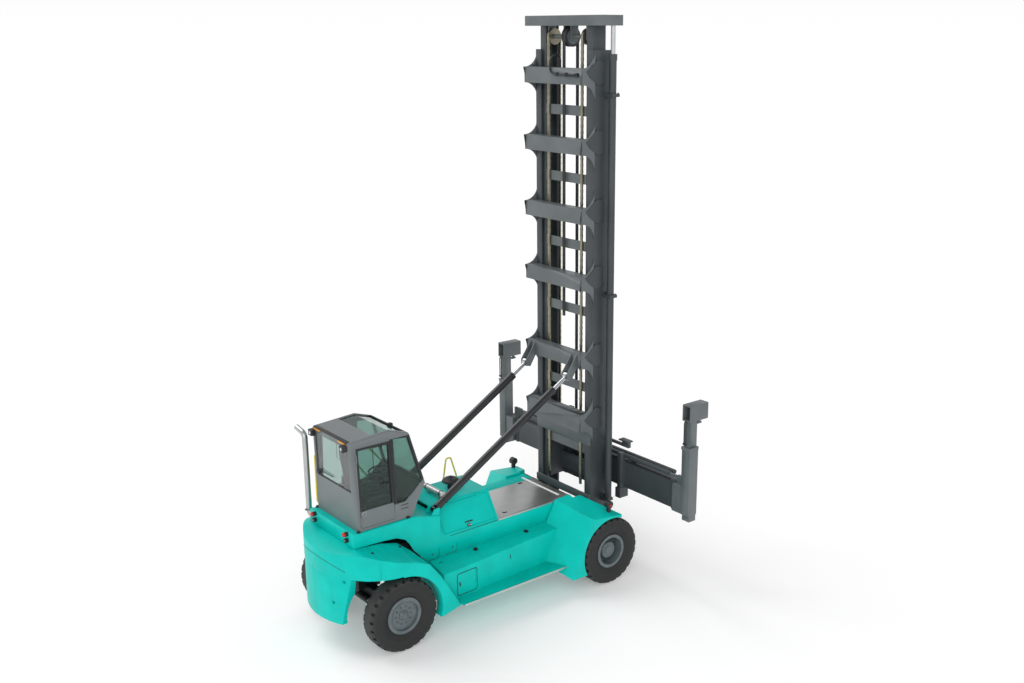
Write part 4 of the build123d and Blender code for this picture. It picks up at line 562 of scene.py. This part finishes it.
# How far out the nuts' faces and the hub caps stand
DRIVE_RIM_Y, DRIVE_HUB_Y, DRIVE_CAP_Y = 1464, 1629, 1628
STEER_RIM_Y, STEER_CAP_Y = 1260, 1303
DRIVE_CAP = ((0, 92), (10, 92), (16, 84), (16, 40), (22, 34), (22, 0.5))
STEER_CAP = ((0, 58), (8, 55), (18, 40), (22, 0.5))
for name, side in SIDES:
    out = (0, side, 0)
    bm = bmesh.new()
    nut_ring(bm, (0, side * DRIVE_RIM_Y, AXLE_Z), side, 12, 215, 19, 24)
    nut_ring(bm, (0, side * DRIVE_HUB_Y, AXLE_Z), side, 12, 128, 9, 9, math.pi / 12)
    lathe(bm, (0, side * DRIVE_CAP_Y, AXLE_Z), out, DRIVE_CAP)
    piece("drive_nuts_" + name, bm, RIM_GREY, "drive_wheel_" + name)
    bm = bmesh.new()
    face = (STEER_X, side * STEER_RIM_Y, AXLE_Z)
    nut_ring(bm, face, side, 10, 165, 18, 24)
    lathe(bm, (STEER_X, side * STEER_CAP_Y, AXLE_Z), out, STEER_CAP)
    band(bm, face, out, 205, 232, 6)
    piece("steer_nuts_" + name, bm, RIM_GREY, "steer_wheel_" + name)
ROD_X, ROD_Z = STEER_X - 150, AXLE_Z - 50
bm = bmesh.new()
for side in (1, -1):
    bar(bm, (ROD_X, side * 328, ROD_Z), (ROD_X, side * 471, ROD_Z), 31)
    band(bm, (ROD_X, side * 330, ROD_Z), (0, side, 0), 31, 50, 14)
piece("steer_rods", bm, CHROME, "chassis")

# Lift chains: crossed link plates and pins along each run

CHAIN_Y = 500
# Each run: X, foot Z, top Z
CHAIN_RUNS = ((218, 1720, 10620), (502, 2770, 10620))
LINK_PITCH, LINK_LONG, LINK_HALF = 62, 52, 14
# Half widths of the inner and outer links and of the pins through them
INNER_LINK, OUTER_LINK, LINK_PIN = 27, 33, 38
bm = bmesh.new()
for side in (1, -1):
    for x, low, high in CHAIN_RUNS:
        for i in range(int((high - low) / LINK_PITCH)):
            z = low + i * LINK_PITCH
            y, wide = side * CHAIN_Y, OUTER_LINK if i % 2 else INNER_LINK
            brick(bm, (x - LINK_HALF, y - wide, z), (x + LINK_HALF, y + wide, z + LINK_LONG), 0)
            middle = z + LINK_LONG / 2
            bar(bm, (x, y - LINK_PIN, middle), (x, y + LINK_PIN, middle), 8, 8)
piece("chain_links", bm, CHAIN, "mast_inner")

# Body: cover seams, plugs, tank fittings, hood latches and the deck's bright strip

# Seams of the side covers: upright X, foot Z, top Z, far end X
COVERS = ((-3494, 1290, 1482, -3733), (-3090, 1305, 1470, -3342))
SEAM_Y = 791
# Rear arc of the counterweight: centre X and radius; the seam on it falls from the middle outward
SLAB_REAR = (-4170, 1480)
SEAM_HIGH, SEAM_FALL, SEAM_HALF = 1755, 230, 911
# Directions along the right-hand tank's tapered side, and out of its side and sloping top
TANK_TAPER = 0.0655
TANK_ALONG, TANK_SIDE_OUT = (1, TANK_TAPER, 0), (TANK_TAPER, -1, 0)
TANK_TOP_OUT = (0, -0.21, 0.98)
bm = bmesh.new()
for side in (1, -1):
    for x, low, high, end in COVERS:
        y = side * SEAM_Y
        line = ((x, y, high), (x, y, low), (end, y, low + 4))
        sweep(bm, eased(line, 60), 4, 6)
    sweep(bm, ((-3240, side * SEAM_Y, 1654), (-2112, side * SEAM_Y, 1657)), 5, 6)
line = []
for i in range(-8, 9):
    y = 95 * i
    x = SLAB_REAR[0] - (SLAB_REAR[1] ** 2 - y * y) ** 0.5
    line.append((x, y, SEAM_HIGH - SEAM_FALL * (y / SEAM_HALF) ** 2))
sweep(bm, line, 5, 6)
hatch = ((-3400, -1231, 1078), (-2935, -1200, 1078), (-2935, -1200, 640), (-3400, -1231, 640))
sweep(bm, eased(hatch, 45, True), 7, 6, True)
tile(bm, (-3531, -903, 1244), (1, 0, 0), TANK_TOP_OUT, (78, 16, 6))
tile(bm, (-2108, -1145, 1014), TANK_ALONG, TANK_SIDE_OUT, (14, 86, 7))
filler = ((0, 46), (14, 46), (18, 42), (18, 31), (36, 29), (40, 24), (40, 0.5))
lathe(bm, (-2728, -875, 1247), TANK_TOP_OUT, filler)
band(bm, (-1491, -851, 1255), TANK_TOP_OUT, 42, 52, 6)
piece("body_seals", bm, RUBBER, "chassis")

# Plugs of one side: X, Y, Z, direction out, radius
PLUGS = (
    (-3637, 790, 1398, (0, 1, 0), 16), (-3193, 790, 1419, (0, 1, 0), 16),
    (-5012, 993, 1918, (0.12, 0.23, 0.97), 28), (-4400, 904, 1825, (0.24, 0.29, 0.93), 28),
)
bm = bmesh.new()
for side in (1, -1):
    for x, y, z, out, r in PLUGS:
        plug = ((-6, r), (3, r), (6, r * 0.75), (6, 0.5))
        lathe(bm, mirrored((x, y, z), side), mirrored(out, side), plug, 20)
piece("body_plugs", bm, PLASTIC, "chassis")

STRIP_X, STRIP_Z = -447, 1671
bm = bmesh.new()
brick(bm, (-470, -600, 1660), (-425, 612, 1672), 3)
for y in (-500, -180, 140, 460):
    lathe(bm, (STRIP_X, y, STRIP_Z), (0, 0, 1), ((0, 9), (3, 8), (4, 0.5)), 12)
piece("deck_strip", bm, WHITE, "chassis")

# Latch on the hood's side hatch, and the direction out of the hatch
LATCH, HATCH_OUT = (-2773, 748, 1727), (0, 0.846, 0.533)
for name, side in SIDES:
    bm = bmesh.new()
    slope, latch = mirrored(HATCH_OUT, side), mirrored(LATCH, side)
    tile(bm, (-2754, side * 711, 1785), (1, 0, 0), slope, (180, 26, 5))
    tile(bm, latch, (1, 0, 0), slope, (84, 50, 6))
    piece("hood_latch_" + name, bm, PLASTIC, "hatch_" + name)
    bm = bmesh.new()
    for dx in (-26, 26):
        tile(bm, (latch[0] + dx, *latch[1:]), (1, 0, 0), slope, (16, 30, 22))
    tile(bm, (latch[0], side * 762, 1735), (1, 0, 0), slope, (70, 20, 12))
    piece("hood_pull_" + name, bm, STEEL, "hatch_" + name)
bm = bmesh.new()
# The latch looks a little further back than the tank's side
TANK_LATCH_OUT = (-TANK_TAPER, -1, 0)
tile(bm, (-3341, -1226, 864), TANK_ALONG, TANK_LATCH_OUT, (26, 84, 9))
lathe(bm, (-3341, -1234, 880), TANK_LATCH_OUT, ((0, 11), (5, 10), (6, 0.5)), 16)
piece("tank_latch", bm, PLASTIC, "tank_door")

# Lamps: red tail and marker lenses, bright reflectors, amber strips

TAIL_LENS, MARKER_LENS = (-5330, 580, 2215), (50, 1614, 1632)
ROOF_LAMP, LOWER_LAMP = (-5290, 560, 3795), (-5320, 580, 2095)
BACKWARD = (-1, 0, 0)
bm = bmesh.new()
for side in (1, -1):
    dome = ((-4, 45), (6, 45), (20, 38), (30, 22), (34, 0.5))
    lathe(bm, mirrored(TAIL_LENS, side), BACKWARD, dome)
    lathe(bm, mirrored(MARKER_LENS, side), (0, side, 0), ((-2, 26), (10, 26), (16, 18), (18, 0.5)), 20)
piece("red_lenses", bm, RED, "chassis")
bm = bmesh.new()
for side in (1, -1):
    lathe(bm, mirrored(ROOF_LAMP, side), BACKWARD, ((-2, 30), (3, 30), (5, 26), (1, 14), (2, 0.5)))
    lathe(bm, mirrored(LOWER_LAMP, side), BACKWARD, ((-4, 12), (3, 12), (5, 8), (6, 0.5)), 16)
piece("lamp_reflectors", bm, MIRROR, "chassis")
bm = bmesh.new()
for side in (1, -1):
    brick(bm, (-5226, side * 330, 3856), (-5190, side * 545, 3876), 5)
piece("amber_strips", bm, AMBER, "chassis")

# Cab outside: roof edge, wiper, vents, mounts, door handles and window lines

# Foot mount of the cab, as steps of height and radius
CAB_MOUNT = ((0, 38), (12, 38), (16, 27), (30, 27), (34, 18), (34, 0.5))
# The round pull on the door's lower panel, and the height where the panel's face is taken for it
PULL_X, PULL_Z, PULL_R = -4985, 2566, 38
PULL_FACE_Z = 2540


def cab_side(z):
    """How far out the cab's side stands at a height."""
    return CAB_HALF - CAB_LEAN * (z - CAB_FLOOR)


pull_y = cab_side(PULL_FACE_Z)
bm = bmesh.new()
tile(bm, (-5158, 0, 3889), (0, 1, 0), (-0.0706, 0, 1), (1180, 62, 9), 4)
bar(bm, (-5186, -588, 3886), (-5186, 588, 3886), 17)
brick(bm, (-5180, 505, 2995), (-5140, 600, 3052), 6)
sweep(bm, eased(((-5172, 552, 3040), (-5176, 520, 3082), (-5170, 60, 3082)), 40), 8, 8)
brick(bm, (-5166, 30, 3066), (-5150, 500, 3078), 3)
brick(bm, (-4040, -140, 3830), (-3978, -50, 3868), 8)
for side in (1, -1):
    for z in (2440, 2508):
        brick(bm, (-4235, side * (cab_side(z) - 3), z), (-4075, side * (cab_side(z) + 3), z + 14), 1)
    for x in (-5130, -4110):
        lathe(bm, (x, side * 742, CAB_FLOOR), (0, 0, 1), CAB_MOUNT, 24)
piece("cab_trim", bm, PLASTIC, "chassis")

for name, side in SIDES:
    bm = bmesh.new()
    near, far = side * 664, side * 708
    line = ((-4610, near, 3010), (-4610, far, 3010), (-4430, far, 3010), (-4430, near, 3010))
    sweep(bm, eased(line, 22), 10, 10)
    corners = ((-4716, 3115), (-4425, 3115), (-4425, 3705), (-4716, 3705))
    line = [(x, side * (cab_side(z) - 19), z) for x, z in corners]
    sweep(bm, eased(line, 30, True), 6, 6, True)
    piece("door_trim_" + name, bm, PLASTIC, "door_" + name)
    bm = bmesh.new()
    line = []
    for i in range(13):
        angle = math.radians(40 + 280 * i / 12)
        x, z = PULL_X + PULL_R * math.cos(angle), PULL_Z + PULL_R * math.sin(angle)
        line.append((x, side * (pull_y + 14), z))
    feet = [(x, side * pull_y, z) for x, _, z in (line[0], line[-1])]
    sweep(bm, [feet[0], *line, feet[1]], 8, 10)
    for dx, dz in ((29, 24), (29, -24)):
        boss = (PULL_X + dx, side * pull_y, PULL_Z + dz)
        lathe(bm, boss, (0, side, 0), ((-3, 15), (4, 15), (5, 0.5)), 16)
    piece("door_pull_" + name, bm, STEEL, "door_" + name)

# Cab inside: floor mat, dash, side console with lever, seat on its bellows base

# Floor mat, dash and side console: low corner, high corner, rounding of the edges
CAB_BOXES = (
    ((-4900, -590, 2300), (-4150, 590, 2312), 4),
    ((-4090, -590, 2305), (-3990, 590, 2540), 15),
    ((-4740, -490, 2310), (-4330, -350, 2660), 18),
)
LEVER_Y, KNOB = -420, ((0, 16), (14, 27), (46, 29), (62, 18), (66, 0.5))
PEDALS_Y, PEDAL_OUT = (-140, 130), (-0.8, 0, 0.6)
bm = bmesh.new()
for low, high, ease in CAB_BOXES:
    brick(bm, low, high, ease)
sweep(bm, ((-4420, LEVER_Y, 2650), (-4412, LEVER_Y, 2740)), 14, 12)
lathe(bm, (-4412, LEVER_Y, 2735), (0, 0, 1), KNOB, 20)
for y in PEDALS_Y:
    tile(bm, (-4150, y, 2330), (0, 1, 0), PEDAL_OUT, (80, 130, 14))
piece("cab_fittings", bm, PLASTIC, "chassis")

BELLOWS_Z, FOLDS, FOLD_PITCH, FOLD_INSET, FOLD_LAP = 2345, 5, 52, 12, 2
bm = bmesh.new()
brick(bm, (-4790, -200, 2305), (-4430, 200, BELLOWS_Z), 8)
for i in range(FOLDS):
    inset = FOLD_INSET if i % 2 else 0
    low = BELLOWS_Z + FOLD_PITCH * i
    high = low + FOLD_PITCH + FOLD_LAP
    brick(bm, (-4760 + inset, -170 + inset, low), (-4460 - inset, 170 - inset, high), 14)
brick(bm, (-4820, -235, 2600), (-4350, 235, 2690), 20)
for side in (1, -1):
    brick(bm, (-4790, side * 275, 2880), (-4490, side * 335, 2930), 18)
    brick(bm, (-4830, side * 262, 2760), (-4760, side * 330, 2920), 14)
piece("seat_base", bm, PLASTIC, "chassis")
# Lean of the cushion and of the back, and where channels are sewn across the half width
CUSHION_LEAN, BACK_LEAN, SEWN = math.radians(-3), math.radians(82), (-0.5, 0.5)
bm = bmesh.new()
pad(bm, (-4580, 0, 2722), (255, 250), 52, 22, CUSHION_LEAN, SEWN)
cushion = piece("seat_cushion", bm, CLOTH, "chassis")
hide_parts("seat")
bm = bmesh.new()
pad(bm, (-4850, 0, 3100), (335, 240), 48, 24, BACK_LEAN, SEWN)
piece("seat_back", bm, CLOTH, "chassis")
bm = bmesh.new()
pad(bm, (-4905, 0, 3520), (90, 140), 36, 14, BACK_LEAN, ())
piece("seat_headrest", bm, CLOTH, "chassis")

# Engine fittings: exhaust clamp and bore, canister bands and cap, pre-cleaner ribs

EXHAUST, CLAMP_Z = (-5180, 985), 2130
bm = bmesh.new()
x, y = EXHAUST
band(bm, (x, y, CLAMP_Z), (0, 0, 1), 54, 63, 34)
bar(bm, (x - 74, y - 30, CLAMP_Z + 17), (x - 74, y + 30, CLAMP_Z + 17), 8, 10)
brick(bm, (x - 84, y - 12, CLAMP_Z + 5), (x - 54, y + 12, CLAMP_Z + 29), 2)
lathe(bm, (x, y + 298, 3679), (0, 300, 50), ((0, 44), (4, 44), (4, 0.5)))
piece("exhaust_clamps", bm, CHAIN, "chassis")
CANISTER_X, CANISTER_Z = -3090, 2300
CLEANER_X, CLEANER_Y, CLEANER_R = -2640, 30, 160
bm = bmesh.new()
for y in (-310, 150):
    band(bm, (CANISTER_X, y, CANISTER_Z), (0, 1, 0), 57, 62, 24)
lathe(bm, (CANISTER_X, 255, CANISTER_Z), (0, 1, 0), ((0, 44), (16, 48), (34, 40), (38, 0.5)))
for i in range(18):
    angle = 2 * math.pi * i / 18
    spot = (CLEANER_X + CLEANER_R * math.cos(angle), CLEANER_Y + CLEANER_R * math.sin(angle), 2345)
    tile(bm, spot, (0, 0, 1), (math.cos(angle), math.sin(angle), 0), (46, 8, 12))
lathe(bm, (CLEANER_X, CLEANER_Y, 2416), (0, 0, 1), ((0, 42), (10, 42), (14, 30), (30, 28), (33, 0.5)))
piece("intake_fittings", bm, PLASTIC, "chassis")

# Tilt cylinders: gland ring and base collar round each barrel

# Foot of each tilt cylinder, its direction, and how far along it the rings sit
TILT_FOOT, TILT_RUN = (-3480, 652, 2205), Vector((0.853, 0, 0.5222))
GLAND_AT, COLLAR_AT = 3290, 250
for name, side in SIDES:
    foot = Vector(mirrored(TILT_FOOT, side))
    bm = bmesh.new()
    band(bm, foot + TILT_RUN * GLAND_AT, TILT_RUN, 72, 82, 60)
    band(bm, foot + TILT_RUN * COLLAR_AT, TILT_RUN, 72, 80, 40)
    piece("tilt_rings_" + name, bm, GLOSS_BLACK, "tilt_cylinder_" + name)

# Mast: doubler plates at the bows, the pipe over the top bow, sheave hubs and clamp nuts

# Heights of the cylinder clamps' tops and of the bow beams
CLAMP_TOPS = (9608, 5758)
BOWS = (9774, 8485, 7179, 5880, 4308, 2990)
# A doubler plate's outline: X, and Z from its bow's height
DOUBLER = ((0, 236), (270, 451), (450, 426), (465, 26), (275, -9), (90, 126))
bm = bmesh.new()
for low in BOWS:
    for side in (1, -1):
        side_plate(bm, [(x, low + z) for x, z in DOUBLER], side * 851, side * 880)
for z in CLAMP_TOPS:
    for side in (1, -1):
        for y in (885, 1085):
            for x in (470, 600):
                nut(bm, (x, side * y, z), (0, 0, 1), 16, 18)
piece("mast_doublers", bm, MAST_SHADE_GREY, "mast_outer")
bm = bmesh.new()
line = (
    (-112, -770, 9958), (-112, -60, 9950), (-110, 66, 10010), (-90, 75, 10240), (40, 75, 10330),
    (160, 75, 10250), (163, 75, 9900),
)
sweep(bm, eased(line, 110), 19, 12)
for y in (-740, -420, -150):
    brick(bm, (-140, y - 22, 9926), (-88, y + 22, 9990), 4)
for y in (-690, -190):
    band(bm, (-112, y, 9957), (0, 1, 0), 19, 29, 40, 6)
piece("bow_pipe", bm, BLACK, "mast_outer")
SHEAVE_X, SHEAVE_Z = 360, 10640
bm = bmesh.new()
for side in (1, -1):
    out = (0, side, 0)
    hub = ((-2, 70), (10, 70), (14, 64), (14, 40), (24, 36), (24, 0.5))
    lathe(bm, (SHEAVE_X, side * 60, SHEAVE_Z), out, hub)
    band(bm, (SHEAVE_X, side * 59, SHEAVE_Z), out, 120, 140, 8)
    nut_ring(bm, (SHEAVE_X, side * 60, SHEAVE_Z), side, 8, 95, 9, 8)
piece("sheave_hub", bm, RIM_GREY, "mast_inner")

# Side-shift cylinder: barrel on the carriage, bright rod and its lug on the spreader

SHIFT_X, SHIFT_Z = 700, 2420
bm = bmesh.new()
bar(bm, (SHIFT_X, 540, SHIFT_Z), (SHIFT_X, 40, SHIFT_Z), 38)
band(bm, (SHIFT_X, 80, SHIFT_Z), (0, -1, 0), 36, 46, 40)
brick(bm, (672, 520, 2385), (728, 557, 2455), 6)
piece("shift_barrel", bm, BLACK, "lift_carriage")
bm = bmesh.new()
bar(bm, (SHIFT_X, 300, SHIFT_Z), (SHIFT_X, -322, SHIFT_Z), 20)
lathe(bm, (SHIFT_X, -290, SHIFT_Z), (0, -1, 0), ((0, 20), (4, 30), (36, 30), (40, 24)))
piece("shift_rod", bm, CHROME, "spreader")
bm = bmesh.new()
brick(bm, (752, -505, 2385), (802, -296, 2455), 5)
brick(bm, (686, -330, 2385), (760, -296, 2455), 5)
piece("shift_lug", bm, MAST_SHADE_GREY, "spreader")

# Spreader: hoses along the beam with their clips, hoses down from the heads

BEAM_HOSES_X, BEAM_HOSE_HALF, BEAM_HOSE_Z = (915, 945), 2380, 2213
CLIP_PITCH, CLIP_FROM, CLIP_WIDE = 580, 60, 30
bm = bmesh.new()
for x in BEAM_HOSES_X:
    sweep(bm, ((x, -BEAM_HOSE_HALF, BEAM_HOSE_Z), (x, BEAM_HOSE_HALF, BEAM_HOSE_Z)), 12, 10)
for i in range(-4, 5):
    y = CLIP_PITCH * i + CLIP_FROM
    brick(bm, (898, y, 2200), (962, y + CLIP_WIDE, 2230), 4)
piece("beam_hoses", bm, HOSE, "spreader")
POST_Y = 2926
for name, side in SIDES:
    bm = bmesh.new()
    middle = side * POST_Y
    for y in (middle - 24, middle + 24):
        line = ((800, y, 3590), (752, y, 3570), (752, y, 3120))
        sweep(bm, eased(line, 40), 11, 10)
    brick(bm, (736, middle - 44, 3110), (768, middle + 44, 3150), 4)
    piece("head_hoses_" + name, bm, HOSE, "head_" + name)

# Camera, floor and light

# Fitted to the photo: place, turn from the X axis, drop, and focal length and middle in pixels
CAMERA_AT = (-14232.8, -17221.4, 10738.5)
CAMERA_TURN = math.radians(50.1797)
CAMERA_DROP = math.radians(15.4198)
FOCAL_PX = 1144.34
CENTRE_PX = (561.46, 346.75)
WIDTH_PX, HEIGHT_PX = 1024, 683

camera = bpy.data.cameras.new("camera")
camera.sensor_width = 36
camera.lens = 36 * FOCAL_PX / WIDTH_PX
camera.shift_x = -(CENTRE_PX[0] - WIDTH_PX / 2) / WIDTH_PX
camera.shift_y = (CENTRE_PX[1] - HEIGHT_PX / 2) / WIDTH_PX
camera.clip_end = 300
eye = bpy.data.objects.new("camera", camera)
bpy.context.scene.collection.objects.link(eye)
level = math.cos(CAMERA_DROP)
aim = Vector((math.cos(CAMERA_TURN) * level, math.sin(CAMERA_TURN) * level, -math.sin(CAMERA_DROP)))
eye.location = place(*CAMERA_AT)
eye.rotation_euler = aim.to_track_quat("-Z", "Y").to_euler()
bpy.context.scene.camera = eye

# Floor: near-white matt sheet with a little light of its own, so that only the contact shadow shows
floor_mat, tree, coords = start("pale_floor")
slow = add(tree, "ShaderNodeTexNoise", {"Vector": coords, "Scale": FLOOR_TONES, "Detail": 2}, "Fac")
mixed = {"Factor": slow, "A": linear("#F2F2F2"), "B": linear("#EEEEEE")}
colour = add(tree, "ShaderNodeMix", mixed, "Result", data_type="RGBA")
look = {"Base Color": colour, "Roughness": 0.9, "Emission Color": linear("#FFFFFF"), "Emission Strength": 0.2}
surface = add(tree, "ShaderNodeBsdfPrincipled", look)
add(tree, "ShaderNodeOutputMaterial", {"Surface": surface})
bm = bmesh.new()
bmesh.ops.create_grid(bm, x_segments=1, y_segments=1, size=160)
floor_mesh = bpy.data.meshes.new("floor")
bm.to_mesh(floor_mesh)
bm.free()
floor_mesh.materials.append(floor_mat)
floor = bpy.data.objects.new("floor", floor_mesh)
bpy.context.scene.collection.objects.link(floor)

# Studio surround: white at the horizon, weaker overhead
world = bpy.data.worlds.new("studio")
bpy.context.scene.world = world
world.use_nodes = True
tree = world.node_tree
tree.nodes.clear()
upward = add(tree, "ShaderNodeTexCoord", {}, "Generated")
axes = add(tree, "ShaderNodeSeparateXYZ", {0: upward}, 2)
power = add(tree, "ShaderNodeMapRange", {"Value": axes, "To Min": 1.0, "To Max": 0.32})
shine = add(tree, "ShaderNodeBackground", {"Color": (1, 1, 1, 1), "Strength": power})
add(tree, "ShaderNodeOutputWorld", {"Surface": shine})

# Broad soft suns: where they stand from the machine's middle, how wide they look, and strength
LIGHTS = (
    ("key", (-13, -15, 10), 50, 0.9),
    ("back", (-5, 13, 20), 42, 1.15),
)
for name, spot, wide, strength in LIGHTS:
    lamp = bpy.data.lights.new(name, "SUN")
    lamp.angle = math.radians(wide)
    lamp.energy = strength
    light = bpy.data.objects.new(name, lamp)
    light.location = spot
    light.rotation_euler = (-Vector(spot)).to_track_quat("-Z", "Y").to_euler()
    bpy.context.scene.collection.objects.link(light)
bpy.context.scene.view_settings.view_transform = "Standard"
